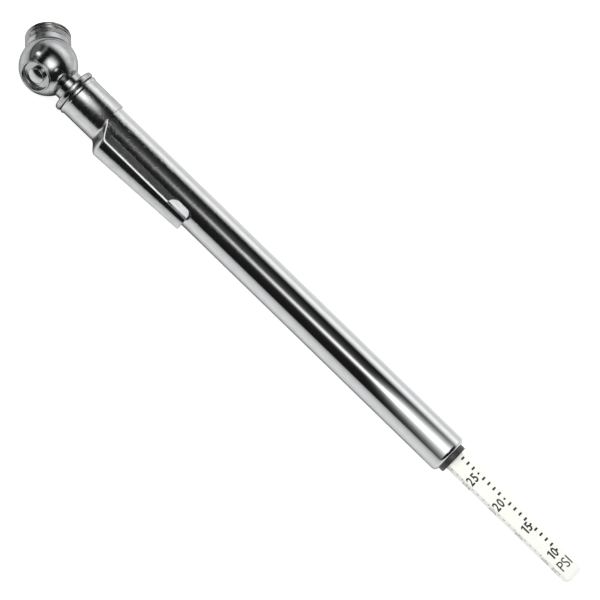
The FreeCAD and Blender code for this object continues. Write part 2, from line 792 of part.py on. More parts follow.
# ---------------------------------------------------------------- build and export


def check_document():
    """Stop if any object failed, or if a sub-part has no valid solid."""
    for item in doc.Objects:
        if "Invalid" in item.State or "Error" in item.State:
            raise RuntimeError(f"{item.Label}: {item.State}")
    for item in sub_parts:
        shape = item.Shape
        if shape.isNull() or not shape.isValid() or not shape.Solids:
            raise RuntimeError(f"{item.Label}: no valid solid")
        middle = shape.CenterOfGravity
        print(
            f"{item.Label:14s} solids {len(shape.Solids)}  volume {shape.Volume:9.3f}"
            f"  middle {middle.x:8.2f} {middle.y:8.2f} {middle.z:8.2f}"
        )


def main():
    """Build every piece, check it and write the parts folder."""
    make_head()
    make_chuck()
    make_nib()
    make_gasket()
    make_tube()
    make_bushing()
    make_band()
    make_tongue()
    make_bar()
    make_stop()
    make_piston()
    make_spring()
    doc.recompute()
    check_document()
    os.makedirs("parts", exist_ok=True)
    for item in sub_parts:
        item.Shape.exportStep(f"parts/{item.Label}.step")


main()
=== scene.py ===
"""Looks of a pencil tire pressure gauge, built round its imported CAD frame.

Lengths are millimetres until a mesh is made, and metres from there on. Every shape is worked out in one of four
sets of axes: the tube's, the chuck's, the bleed boss's and the indicator bar's.
"""

from __future__ import annotations

import json
import logging
import math
from dataclasses import dataclass
from enum import Enum
from functools import partial
from typing import Any, Callable, Sequence

import bmesh
import bpy
import numpy as np
from mathutils import Matrix, Vector

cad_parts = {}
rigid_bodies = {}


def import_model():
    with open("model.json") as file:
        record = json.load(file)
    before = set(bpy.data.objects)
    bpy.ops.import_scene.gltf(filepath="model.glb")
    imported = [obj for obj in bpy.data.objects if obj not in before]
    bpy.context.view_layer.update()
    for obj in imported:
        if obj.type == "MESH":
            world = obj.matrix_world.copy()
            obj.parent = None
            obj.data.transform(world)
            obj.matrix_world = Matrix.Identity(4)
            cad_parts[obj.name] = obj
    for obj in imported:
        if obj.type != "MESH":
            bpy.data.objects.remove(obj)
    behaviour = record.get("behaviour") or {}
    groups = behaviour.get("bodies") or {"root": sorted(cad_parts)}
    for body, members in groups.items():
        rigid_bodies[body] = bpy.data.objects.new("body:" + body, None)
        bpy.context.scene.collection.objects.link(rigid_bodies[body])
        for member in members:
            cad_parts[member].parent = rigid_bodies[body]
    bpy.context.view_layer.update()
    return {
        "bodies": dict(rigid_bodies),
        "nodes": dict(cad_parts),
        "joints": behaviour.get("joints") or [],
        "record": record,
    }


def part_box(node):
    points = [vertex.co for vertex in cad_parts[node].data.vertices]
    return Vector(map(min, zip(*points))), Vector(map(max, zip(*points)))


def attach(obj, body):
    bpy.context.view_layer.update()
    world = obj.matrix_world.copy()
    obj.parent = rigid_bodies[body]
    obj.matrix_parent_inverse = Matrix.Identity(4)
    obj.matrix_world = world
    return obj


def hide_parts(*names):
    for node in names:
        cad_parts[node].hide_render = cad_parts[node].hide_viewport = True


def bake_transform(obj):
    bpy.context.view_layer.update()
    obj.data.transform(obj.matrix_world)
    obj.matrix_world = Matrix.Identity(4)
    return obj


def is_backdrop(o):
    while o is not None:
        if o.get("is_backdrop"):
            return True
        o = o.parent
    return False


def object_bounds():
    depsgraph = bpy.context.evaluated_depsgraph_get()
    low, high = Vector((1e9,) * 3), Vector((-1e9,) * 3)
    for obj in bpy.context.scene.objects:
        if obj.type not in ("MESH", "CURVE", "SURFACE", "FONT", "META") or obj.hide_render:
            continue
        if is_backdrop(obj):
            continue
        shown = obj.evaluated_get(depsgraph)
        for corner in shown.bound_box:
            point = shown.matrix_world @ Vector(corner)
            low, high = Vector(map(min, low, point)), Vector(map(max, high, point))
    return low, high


MM = 0.001
SAME_POINT = 1e-7  # metres: points nearer to each other than this become one
STRAIGHT = 0.02  # radians: a corner that turns less than this isn't rounded
NOISE_LOW, NOISE_HIGH = 0.3, 0.7  # nearly all of a noise texture's values lie between these

Array = np.ndarray
Colour = tuple[float, float, float, float]
Size = tuple[float, float, float]
Adder = Callable[..., bpy.types.Node]
log = logging.getLogger("gauge")


class Slot(Enum):
    """Material slots of the record that new pieces take their finish from."""

    HEAD = "chrome_head"
    RING = "chrome_ring"
    NIB = "chrome_nib"
    TUBE = "chrome_tube"
    CLIP = "chrome_clip"
    NYLON = "dark_nylon"
    IVORY = "ivory_plastic"
    STEEL = "bright_steel"


# ---------------------------------------------------------------- shapes on grids


@dataclass(frozen=True)
class Axes:
    """An origin in the CAD's frame, in millimetres, and three unit directions."""

    origin: Array
    across: Array
    side: Array
    along: Array

    def place(self, points: Array) -> Array:
        """Carry points given as (across, side, along) to the CAD's frame."""
        return self.origin + points @ np.stack([self.across, self.side, self.along])

    def metres(self, across: float, station: float) -> Size:
        """A point of the (across, along) plane in the CAD's frame, in metres."""
        return tuple(self.place(np.array([across, 0.0, station])) * MM)

    def turned(self, degrees: float) -> Axes:
        """Turn the axes about the along direction, from across towards side.

        Args:
            degrees: how far.

        Returns:
            The turned axes, at the same origin.
        """
        cosine, sine = math.cos(math.radians(degrees)), math.sin(math.radians(degrees))
        across, side = cosine * self.across + sine * self.side, cosine * self.side - sine * self.across
        return Axes(self.origin, across, side, self.along)


@dataclass(frozen=True)
class Patch:
    """Points in the CAD's frame, in millimetres, and the corner numbers of the faces between them."""

    points: Array
    faces: Array


def grid_patch(points: Array, wrap: bool = True) -> Patch:
    """Join a grid of points into quads: each point with its neighbours in the next row and column.

    Args:
        points: rows x columns x 3.
        wrap: whether the last column joins the first.

    Returns:
        The patch.
    """
    rows, columns = points.shape[:2]
    row, column = np.meshgrid(np.arange(rows - 1), np.arange(columns if wrap else columns - 1), indexing="ij")
    here, after = row * columns + column, row * columns + (column + 1) % columns
    return Patch(points.reshape(-1, 3), np.stack([here, after, after + columns, here + columns], -1).reshape(-1, 4))


def rounded(corners: Sequence[Size], steps: int = 6) -> Array:
    """Draw a profile whose corners are arcs.

    An arc of radius r, where the run turns by an angle a, starts r * tan(a / 2) before the corner. Its points are
    the centre plus the two end offsets, weighed by sin((1 - k) a) / sin a and sin(k a) / sin a.

    Args:
        corners: (radius, station, rounding) of each corner, in order.
        steps: segments of each arc.

    Returns:
        Points (radius, station), one per row.
    """
    spots = np.array(corners, float)
    parts = [spots[:1, :2]]
    for before, here, after in zip(spots[:-2], spots[1:-1], spots[2:]):
        into, out = here[:2] - before[:2], after[:2] - here[:2]
        into, out = into / np.linalg.norm(into), out / np.linalg.norm(out)
        turn = math.acos(float(np.clip(into @ out, -1.0, 1.0)))
        if here[2] <= 0 or turn < STRAIGHT:
            parts.append(here[None, :2])
            continue
        reach = here[2] * math.tan(turn / 2)
        start, end = here[:2] - into * reach, here[:2] + out * reach
        inward = out - into * (into @ out)
        centre = start + here[2] * inward / np.linalg.norm(inward)
        share = np.linspace(0, 1, steps + 1)[:, None]
        swing = np.sin((1 - share) * turn) * (start - centre) + np.sin(share * turn) * (end - centre)
        parts.append(centre + swing / math.sin(turn))
    parts.append(spots[-1:, :2])
    return np.concatenate(parts)


def supported(profile: Array, reach: float = 0.06, shortest: float = 0.5) -> Array:
    """Add a point close to each end of every long straight run, so that an arc's shading ends where the arc does.

    Args:
        profile: points (radius, station).
        reach: how far the added points stand from the run's ends.
        shortest: a run shorter than this is left alone.

    Returns:
        The profile with the added points.
    """
    points = [profile[:1]]
    for start, end in zip(profile[:-1], profile[1:]):
        length = float(np.linalg.norm(end - start))
        if length > shortest:
            step = (end - start) / length * reach
            points.append(np.stack([start + step, end - step]))
        points.append(end[None])
    return np.concatenate(points)


def turned_shape(profile: Array, axes: Axes, segments: int = 128) -> Patch:
    """Carry a profile round the along axis: across = radius * cos a, side = radius * sin a, along = station.

    Args:
        profile: points (radius, station).
        axes: where the shape stands.
        segments: columns of the grid.

    Returns:
        The patch.
    """
    angle = np.linspace(0, 2 * math.pi, segments, endpoint=False)
    profile = supported(profile)
    radius, station = profile[:, :1], profile[:, 1:]
    points = np.stack([radius * np.cos(angle), radius * np.sin(angle), station + 0 * angle], -1)
    return grid_patch(axes.place(points))


def shell_patch(outer: Array, inner: Array) -> Patch:
    """Close two facing grids into one solid shell: across the sheet, each row runs out along the outer face and back
    along the inner one, and the end rows fold shut on the middle of the sheet.

    Args:
        outer: rows x columns x 3.
        inner: the same, on the sheet's other face.

    Returns:
        The patch.
    """
    loops = np.concatenate([outer, inner[:, ::-1]], axis=1)
    columns = outer.shape[1]
    caps = []
    for loop in (loops[0], loops[-1]):
        middle = (loop[:columns] + loop[columns:][::-1]) / 2
        caps.append(np.concatenate([middle, middle[::-1]])[None])
    return grid_patch(np.concatenate([caps[0], loops, caps[1]]))


def eased(share: Array) -> Array:
    """Smooth step: 3 s^2 - 2 s^3, with s held between 0 and 1."""
    share = np.clip(share, 0, 1)
    return share * share * (3 - 2 * share)


def add_object(name: str, data: bpy.types.ID) -> bpy.types.Object:
    """Put a mesh, lamp or camera into the scene.

    Args:
        name: the object's name.
        data: its mesh, lamp or camera.

    Returns:
        The object.
    """
    added = bpy.data.objects.new(name, data)
    bpy.context.scene.collection.objects.link(added)
    return added


def make_piece(
    name: str,
    patches: Sequence[Patch],
    finish: Finish,
    slot: Slot,
    body: str = "",
    nodes: Sequence[str] = (),
    sharp: float = 32.0,
    bevel: float = 0.0,
    around: Array | None = None,
) -> bpy.types.Object:
    """Make one visible piece from its patches.

    Args:
        name: the piece's name.
        patches: its surfaces: closed ones, or flat ones that are printed on another piece.
        finish: its finish.
        slot: the record's slot that the finish stands for.
        body: the CAD body that it rides on; none where the caller blends it.
        nodes: the CAD nodes that it stands for.
        sharp: degrees between two faces past which their edge is drawn hard.
        bevel: rounding of its hard edges, in millimetres.
        around: for flat patches, which stay flat-shaded, a point on the axis that their faces look away from. The
            axis runs along X.

    Returns:
        The object, with its place in its mesh.
    """
    starts = np.cumsum([0] + [len(patch.points) for patch in patches[:-1]])
    points = np.concatenate([patch.points for patch in patches]) * MM
    faces = np.concatenate([patch.faces + start for patch, start in zip(patches, starts)]).tolist()
    mesh = bpy.data.meshes.new(name)
    mesh.from_pydata(points.tolist(), [], [face[:3] if face[3] == face[0] else face for face in faces])
    work = bmesh.new()
    work.from_mesh(mesh)
    bmesh.ops.remove_doubles(work, verts=work.verts, dist=SAME_POINT)
    if around is None:
        bmesh.ops.recalc_face_normals(work, faces=work.faces)
    else:
        middle = Vector(around) * MM
        inward = [face for face in work.faces if face.normal.yz.dot((face.calc_center_median() - middle).yz) < 0]
        bmesh.ops.reverse_faces(work, faces=inward)
    work.to_mesh(mesh)
    work.free()
    piece = add_object(name, mesh)
    if bevel:
        modifier = piece.modifiers.new("edge_rounding", "BEVEL")
        modifier.width, modifier.segments, modifier.limit_method = bevel * MM, 3, "ANGLE"
        modifier.angle_limit = math.radians(sharp)
        bpy.context.view_layer.update()
        piece_now = piece.evaluated_get(bpy.context.evaluated_depsgraph_get())
        piece.data = bpy.data.meshes.new_from_object(piece_now)
        piece.modifiers.clear()
    piece.data.name = name
    piece.data.materials.clear()
    piece.data.materials.append(finish.material())
    if around is None:
        piece.data.shade_smooth()
        piece.data.set_sharp_from_angle(angle=math.radians(sharp))
    if body:
        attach(piece, body)
    if nodes:
        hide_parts(*nodes)
    log.info("%s: %d faces, stands for %s", name, len(piece.data.polygons), ", ".join(nodes) or "no node")
    return piece


# ---------------------------------------------------------------- finishes


def linear(hex_colour: str) -> Colour:
    """Turn an sRGB hex colour into linear red, green, blue and alpha.

    Args:
        hex_colour: such as "#C8C9CB".

    Returns:
        The linear colour, with alpha 1.
    """
    parts = [int(hex_colour[place : place + 2], 16) / 255 for place in (1, 3, 5)]
    red, green, blue = [part / 12.92 if part <= 0.04045 else ((part + 0.055) / 1.055) ** 2.4 for part in parts]
    return (red, green, blue, 1.0)


def per_feature(size: Sequence[float]) -> tuple[float, ...]:
    """Scale at which one unit of a pattern is one feature: 1 / size along each axis.

    Args:
        size: the feature's size along each axis, in millimetres.

    Returns:
        The scale, for coordinates in metres.
    """
    return tuple(1 / (length * MM) for length in size)


def add_node(
    tree: bpy.types.NodeTree,
    kind: str,
    inputs: dict[str | int, Any] | None = None,
    **settings: Any,
) -> bpy.types.Node:
    """Add a node with its settings, and set or link its inputs.

    Args:
        tree: the node tree.
        kind: the node's type, without its "ShaderNode" start.
        inputs: for each input, by name or number, a value, or the socket or node that feeds it. A node feeds its
            first output.
        settings: the node's own properties.

    Returns:
        The node.
    """
    node = tree.nodes.new("ShaderNode" + kind)
    for key, value in settings.items():
        setattr(node, key, value)
    for key, value in (inputs or {}).items():
        source = value.outputs[0] if isinstance(value, bpy.types.Node) else value
        if isinstance(source, bpy.types.NodeSocket):
            tree.links.new(source, node.inputs[key])
        else:
            node.inputs[key].default_value = source
    return node


def new_material(name: str) -> tuple[bpy.types.Material, Adder]:
    """Make an empty material.

    Args:
        name: its name.

    Returns:
        The material, and add_node for its tree.
    """
    material = bpy.data.materials.new(name)
    material.use_nodes = True
    material.node_tree.nodes.clear()
    return material, partial(add_node, material.node_tree)


@dataclass(frozen=True)
class Finish:
    """A finish, by its material's name. Each kind of finish draws its own shader."""

    name: str

    def draw(self, add: Adder) -> bpy.types.Node:
        """Add the nodes of the shader with add, and return its last one."""
        raise NotImplementedError

    def material(self) -> bpy.types.Material:
        """The finish's material, made when it is first asked for."""
        made = bpy.data.materials.get(self.name)
        if made is None:
            made, add = new_material(self.name)
            add("OutputMaterial", {"Surface": self.draw(add)})
        return made


@dataclass(frozen=True)
class ChromePlate(Finish):
    """Bright chrome plating over buffed metal: a mirror with faint buffing lines, and duller where hands rub it.

    The plating gives the eye clear reflections. Buffing lines are 0.1 to 0.3 mm apart on the real piece, and are
    drawn at that size with a depth under a micrometre. Rubbed places have small dents 0.4 to 1 mm across. Both the
    haze and the dents fade along X, from the head to the part of the tube that hands rarely touch.
    """

    colour: str = "#D3D4D5"
    stain: str = "#BFC0C0"
    grazing: str = "#D2D2D2"
    roughness: float = 0.07
    haze: float = 0.07
    stain_size: Size = (2.2, 1.1, 1.1)
    rub_size: Size = (1.4, 0.6, 0.6)
    line_size: Size = (4.0, 0.22, 0.22)
    line_depth: float = 0.0003
    dent_size: Size = (1.1, 0.5, 0.5)
    dent_depth: float = 0.006
    worn_from: float = 62.0
    worn_to: float = 18.0
    least_worn: float = 0.08

    def draw(self, add: Adder) -> bpy.types.Node:
        """Stained colour, uneven roughness, and a bump of lines and dents.

        Args:
            add: adds a node to the material.

        Returns:
            The shader's node.
        """
        place = add("TexCoord").outputs["Object"]
        values = {"hands": add("SeparateXYZ", {0: place})}
        for pattern, size, octaves in (
            ("stains", self.stain_size, 4.0), ("rubs", self.rub_size, 5.0),
            ("lines", self.line_size, 2.0), ("dents", self.dent_size, 4.0),
        ):
            scaled = add("Mapping", {"Vector": place, "Scale": per_feature(size)})
            values[pattern] = add("TexNoise", {"Vector": scaled, "Scale": 1.0, "Detail": octaves})
        share = {
            pattern: add("MapRange", {"Value": values[pattern], "From Min": start, "From Max": end, "To Min": least})
            for pattern, start, end, least in (
                ("stains", 0.45, 0.75, 0.0), ("rubs", 0.42, 0.66, 0.0), ("dents", 0.55, 0.72, 0.0),
                ("hands", self.worn_from * MM, self.worn_to * MM, self.least_worn),
            )
        }
        colour = add("Mix", {0: share["stains"], 6: linear(self.colour), 7: linear(self.stain)}, data_type="RGBA")
        rubbed = add("Math", {0: share["rubs"], 1: share["hands"]}, operation="MULTIPLY")
        roughness = add("Math", {0: rubbed, 1: self.haze, 2: self.roughness}, operation="MULTIPLY_ADD")
        dents = add("Math", {0: share["dents"], 1: share["hands"]}, operation="MULTIPLY")
        bump = add("Bump", {"Height": values["lines"], "Distance": self.line_depth * MM, "Strength": 1.0})
        bump = add("Bump", {"Height": dents, "Distance": self.dent_depth * MM, "Strength": 1.0, "Normal": bump})
        return add("BsdfPrincipled", {
            "Base Color": colour.outputs[2], "Metallic": 1.0, "Roughness": roughness, "Normal": bump,
            "Specular Tint": linear(self.grazing),
        })


@dataclass(frozen=True)
class GrainedSolid(Finish):
    """A solid colour with the mottle and fine grain of how it was made."""

    colour: str
    mottle: str
    roughness: float
    metallic: float = 0.0
    mottle_size: Size = (1.5, 1.5, 1.5)
    grain_size: Size = (0.12, 0.12, 0.12)
    grain_depth: float = 0.002
    unevenness: float = 0.15

    def draw(self, add: Adder) -> bpy.types.Node:
        """Two near colours mixed by noise, and a fine bump that the roughness follows.

        Args:
            add: adds a node to the material.

        Returns:
            The shader's node.
        """
        place = add("TexCoord").outputs["Object"]
        noise = {}
        for pattern, size, octaves in (("mottle", self.mottle_size, 3.0), ("grain", self.grain_size, 2.0)):
            scaled = add("Mapping", {"Vector": place, "Scale": per_feature(size)})
            noise[pattern] = add("TexNoise", {"Vector": scaled, "Scale": 1.0, "Detail": octaves})
        smooth, rough = self.roughness * (1 - self.unevenness), min(1.0, self.roughness * (1 + self.unevenness))
        share, roughness = (
            add("MapRange", {
                "Value": noise[pattern], "From Min": NOISE_LOW, "From Max": NOISE_HIGH,
                "To Min": least, "To Max": most,
            })
            for pattern, least, most in (("mottle", 0.0, 1.0), ("grain", smooth, rough))
        )
        colour = add("Mix", {0: share, 6: linear(self.colour), 7: linear(self.mottle)}, data_type="RGBA")
        bump = add("Bump", {"Height": noise["grain"], "Distance": self.grain_depth * MM, "Strength": 1.0})
        return add("BsdfPrincipled", {
            "Base Color": colour.outputs[2], "Metallic": self.metallic, "Roughness": roughness, "Normal": bump,
        })


# Chrome on a buffed brass casting: a greyish mirror that dims at grazing angles and has faint stains.
HEAD_CHROME = ChromePlate(
    "chrome_plated_brass_head", "#BEBFC0", "#A9AAAA", "#AAAAAA", roughness=0.06, haze=0.10, dent_depth=0.007,
)
# Chrome worn by use on a ridged ring: dark stains, dents and dull patches between bright edges.
RING_CHROME = ChromePlate(
    "chrome_plated_ring_worn", "#A2A2A1", "#454443", roughness=0.14, haze=0.2,
    dent_size=(0.6, 0.6, 0.6), dent_depth=0.03,
)
# Chrome on a small turned button: bright, a little hazed by fingertips.
NIB_CHROME = ChromePlate("chrome_plated_nib", roughness=0.09, haze=0.10)
# Chrome on drawn tube: the clearest mirror, with pits and haze towards the head where hands hold it.
TUBE_CHROME = ChromePlate(
    "chrome_plated_drawn_tube", stain="#CCCDCD", roughness=0.055, haze=0.16,
    dent_size=(0.6, 0.35, 0.35), dent_depth=0.017, worn_from=78.0, worn_to=24.0,
)
# Chrome on bent spring steel: a bright mirror, dimmer at grazing angles, a little uneven from the press.
CLIP_CHROME = ChromePlate(
    "chrome_plated_spring_steel", grazing="#A0A0A0", roughness=0.07, haze=0.12,
    dent_size=(0.6, 0.4, 0.4), dent_depth=0.009,
)
# Moulded rubber: black and dull, with an even fine grain from the mould.
RUBBER = GrainedSolid("moulded_black_rubber", "#1B1B1C", "#262627", 0.7)
# Brass from the lathe: warm yellow metal with fine rings round its axis.
BRASS = GrainedSolid("lathe_turned_brass", "#C9A65B", "#B8944C", 0.28, 1.0, grain_size=(0.15, 2.0, 2.0))
# Moulded nylon: near-black satin plastic with a slight mottle.
NYLON = GrainedSolid("moulded_dark_nylon", "#272727", "#343434", 0.3, grain_depth=0.004)
# Moulded ivory plastic: warm white with a soft gloss, and faint flow marks along the bar.
IVORY = GrainedSolid(
    "moulded_ivory_plastic", "#FFFFFA", "#FDFDF5", 0.38,
    mottle_size=(6.0, 2.0, 2.0), grain_size=(0.5, 0.12, 0.12), grain_depth=0.0012,
)
# Pad-printed ink: matt black, a little uneven where the pad let go.
INK = GrainedSolid(
    "pad_printed_black_ink", "#1E1F22", "#34363A", 0.5,
    mottle_size=(0.35, 0.35, 0.35), grain_size=(0.08, 0.08, 0.08),
)
# The same ink rubbed thin: grey flecks, with the plastic showing through.
WORN_INK = GrainedSolid(
    "pad_printed_ink_rubbed_thin", "#9A9CA0", "#C4C5C6", 0.5,
    mottle_size=(0.5, 0.3, 0.3), grain_size=(0.08, 0.08, 0.08),
)
# Thinly plated steel on the clip's hidden side: a dull grey metal that mirrors only light and dark.
DULL_STEEL = GrainedSolid(
    "spring_steel_thinly_plated", "#B4B5B5", "#9C9C9B", 0.5, 1.0,
    mottle_size=(1.2, 0.6, 0.6), grain_size=(0.3, 0.1, 0.1),
)
# Drawn spring wire and rolled strip: bright grey metal with a fine grain.
STEEL = GrainedSolid("bright_spring_steel", "#B9BABC", "#A6A7AA", 0.25, 1.0, grain_size=(0.2, 0.2, 0.2))


# ---------------------------------------------------------------- the frame's own places


@dataclass(frozen=True)
class Layout:
    """Where the tube, chuck, boss and bar stand, from the CAD's boxes and joints, and the CAD's own nodes."""

    tube: Axes
    chuck: Axes
    boss: Axes
    bar: Axes
    floor: float
    nodes: dict[str, bpy.types.Object]

    @classmethod
    def read(
        cls, frame: dict[str, Any], tube_start: float = 8.9, chuck_angle: float = 53.5, chuck_reach: float = 9.0,
        bar_roll: float = 38.0,
    ) -> Layout:
        """Work the axes out, all from the middle of the ball.

        Args:
            tube_start: where the tube starts along its axis.
            chuck_angle: degrees between the chuck's axis and the tube's.
            chuck_reach: where the chuck's mouth stands along its axis.
            bar_roll: degrees that the bar is turned about the tube's axis.

        Returns:
            The layout, in millimetres.
        """
        low, high = (np.array(corner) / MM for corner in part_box("barrel_tube"))
        flex = next(joint for joint in frame["joints"] if joint["name"] == "clip_flex")
        along = np.array([1.0, 0.0, 0.0])
        side = np.array(flex["axis"], float)
        side /= np.linalg.norm(side)
        across = np.cross(side, along)
        centre = (low + high) / 2
        centre[0] = low[0] - tube_start
        tube = Axes(centre, across, side, along)
        lean = math.radians(chuck_angle)
        out = -math.cos(lean) * along - math.sin(lean) * across
        chuck = Axes(centre + chuck_reach * out, np.cross(side, out), side, out)
        boss = Axes(centre, -along, side, across)
        return cls(tube, chuck, boss, tube.turned(bar_roll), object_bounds()[0].z / MM, frame["nodes"])

    def dress(self, finish: Finish, *names: str) -> None:
        """Give CAD nodes that stay in view their finish.

        Args:
            finish: the finish.
            names: the nodes.
        """
        for name in names:
            for place in self.nodes[name].material_slots:
                place.material = finish.material()
            log.info("%s: CAD node dressed in %s", name, finish.name)


# ---------------------------------------------------------------- head


@dataclass
class Head:
    """Head casting with its ball, chuck stub, bleed boss, neck and flange, and the pieces in it."""

    layout: Layout
    ball: float = 6.75
    stub: float = 5.3
    stub_end: float = 5.8
    stub_fillet: float = 0.45
    socket: float = 4.68
    socket_floor: float = 2.7
    boss: float = 3.75
    boss_face: float = 6.0
    boss_fillet: float = 0.3
    dish: float = 3.4
    dish_floor: float = 4.7
    dish_rounding: float = 0.5
    nib: float = 1.9
    nib_dome: float = 3.5
    nib_reach: float = 6.2
    nib_foot: float = 3.5
    nib_stem: float = 0.9
    nib_rounding: float = 0.16
    neck: float = 3.55
    neck_start: float = 3.0
    neck_fillet: float = 0.35
    flange: float = 5.5
    flange_start: float = 7.3
    flange_end: float = 8.8
    flange_rounding: float = 0.6
    spigot: float = 4.32
    spigot_end: float = 16.8
    collar: float = 3.2
    bore: float = 4.1
    seal_face: float = 4.8
    ring_gap: float = 0.03
    bore_chamfer: tuple[float, float] = (0.35, 0.5)
    ridge_pitch: float = 0.8
    groove: float = 0.2
    groove_mouth: float = 0.24
    groove_floor: float = 0.06

    def tangent(self, radius: float, fillet: float) -> tuple[float, float, Array]:
        """Fillet between the ball and a stem of a given radius that grows out of it.

        The fillet's centre is radius + fillet from the stem's axis and ball + fillet from the ball's centre.

        Args:
            radius: the stem's radius.
            fillet: the fillet's radius.

        Returns:
            The angle from the stem's axis at which the ball takes over, the station where the stem does, and the
            arc's points (radius, station) from the stem to the ball.
        """
        out = radius + fillet
        station = math.sqrt((self.ball + fillet) ** 2 - out**2)
        angle = math.atan2(out, station)
        sweep = np.linspace(math.pi, math.pi + math.pi / 2 - angle, 7)
        arc = np.stack([out + fillet * np.cos(sweep), station + fillet * np.sin(sweep)], -1)
        return angle, station, arc

    def ball_patch(self, segments: int = 160) -> Patch:
        """Ball, chuck stub and bleed boss as one surface.

        Each row is a circle: its axis turns from the chuck's to the far side of the boss's, its height along that
        axis and its radius follow the stub's profile, then the ball (ball * cos a, ball * sin a), then the boss's.

        Args:
            segments: columns of the grid.

        Returns:
            The patch.
        """
        chuck, boss, side = self.layout.chuck.along, self.layout.boss.along, self.layout.tube.side
        stub_angle, _, stub_arc = self.tangent(self.stub, self.stub_fillet)
        boss_angle, _, boss_arc = self.tangent(self.boss, self.boss_fillet)
        stub = np.concatenate([
            rounded([
                (0, self.socket_floor, 0), (self.socket, self.socket_floor, 0), (self.socket, self.stub_end, 0.05),
                (self.stub, self.stub_end, 0.12), (self.stub, stub_arc[0, 1], 0),
            ]),
            stub_arc,
        ])
        face = np.concatenate([
            boss_arc[::-1],
            rounded([
                (self.boss, boss_arc[0, 1], 0), (self.boss, self.boss_face, 0.16),
                (self.dish, self.boss_face, 0.1), (self.dish, self.dish_floor, self.dish_rounding),
                (self.nib - 0.1, self.dish_floor, 0), (0, self.dish_floor, 0),
            ], steps=10),
        ])
        share = np.linspace(0, 1, 60)[1:-1]
        angle = stub_angle + (math.pi - boss_angle - stub_angle) * share
        turn = math.acos(float(chuck @ -boss))
        turns = np.concatenate([0 * stub[:, 0], turn * share, turn + 0 * face[:, 0]])[:, None]
        height = np.concatenate([stub[:, 1], self.ball * np.cos(angle), -face[:, 1]])[:, None, None]
        radius = np.concatenate([stub[:, 0], self.ball * np.sin(angle), face[:, 0]])[:, None, None]
        square = -boss - chuck * (chuck @ -boss)
        square /= np.linalg.norm(square)
        axis = (np.cos(turns) * chuck + np.sin(turns) * square)[:, None]
        first = (np.cos(turns) * square - np.sin(turns) * chuck)[:, None]
        around = np.linspace(0, 2 * math.pi, segments, endpoint=False)[None, :, None]
        points = axis * height + radius * (first * np.cos(around) + side * np.sin(around))
        return grid_patch(self.layout.tube.origin + points)

    def neck_patch(self) -> Patch:
        """Neck, flange and spigot, turned about the tube's axis, from a fillet that springs from the ball."""
        _, _, arc = self.tangent(self.neck, self.neck_fillet)
        rest = rounded([
            (self.neck, arc[0, 1], 0), (self.neck, self.flange_start, 0.12),
            (self.flange, self.flange_start, self.flange_rounding),
            (self.flange, self.flange_end, self.flange_rounding), (self.spigot, self.flange_end, 0),
            (self.spigot, self.spigot_end, 0.1), (0, self.spigot_end, 0),
        ], steps=8)
        start = np.array([[0.0, self.neck_start], [arc[-1, 0], self.neck_start]])
        return turned_shape(np.concatenate([start, arc[::-1], rest]), self.layout.tube)

    def ring_patch(self) -> Patch:
        """Ridged ring of the chuck: three soft ridges between two grooves, a rounded rim and a chamfered bore."""
        top, floor, inside = self.stub, self.stub - self.groove, self.socket - self.ring_gap
        grooves = [
            (radius, -place * self.ridge_pitch + offset, rounding)
            for place in (1, 2)
            for radius, offset, rounding in (
                (top, self.groove_mouth, 0.12), (floor, self.groove_floor, 0.04),
                (floor, -self.groove_floor, 0.04), (top, -self.groove_mouth, 0.12),
            )
        ]
        wide, deep = self.bore_chamfer
        corners = [
            (self.bore, -self.seal_face, 0), (self.bore, -deep, 0.2), (self.bore + wide, 0, 0.12), (top, 0, 0.28),
            *grooves, (top, -self.collar, 0.14), (inside, -self.collar, 0), (inside, -self.seal_face, 0),
            (self.bore, -self.seal_face, 0),
        ]
        return turned_shape(rounded(corners, steps=5), self.layout.chuck)

    def nib_patch(self) -> Patch:
        """Bleed nib, turned about the boss's axis: a stem, a button with straight sides, and a gently domed end."""
        turn = np.linspace(math.asin(self.nib / self.nib_dome), 0, 14)
        dome = np.stack([
            self.nib_dome * np.sin(turn), self.nib_reach - self.nib_dome + self.nib_dome * np.cos(turn), 0 * turn,
        ], -1)
        dome[0, 2] = self.nib_rounding
        corners = [
            (0, self.nib_foot, 0), (self.nib_stem, self.nib_foot, 0), (self.nib_stem, self.dish_floor, 0),
            (self.nib, self.dish_floor, 0), *map(tuple, dome),
        ]
        return turned_shape(rounded(corners), self.layout.boss, segments=96)

    def build(self) -> None:
        """Make and dress the head's pieces."""
        casting = [self.ball_patch(), self.neck_patch()]
        make_piece("head", casting, HEAD_CHROME, Slot.HEAD, "barrel", ["head_casting"])
        make_piece("ridged_ring", [self.ring_patch()], RING_CHROME, Slot.RING, "barrel", ["chuck_ring"], sharp=60)
        make_piece("bleed_nib", [self.nib_patch()], NIB_CHROME, Slot.NIB, "barrel", ["deflator_nib"])
        self.layout.dress(RUBBER, "chuck_seal", "neck_gasket")
        self.layout.dress(BRASS, "depressor_pin")


# ---------------------------------------------------------------- tube and bushing


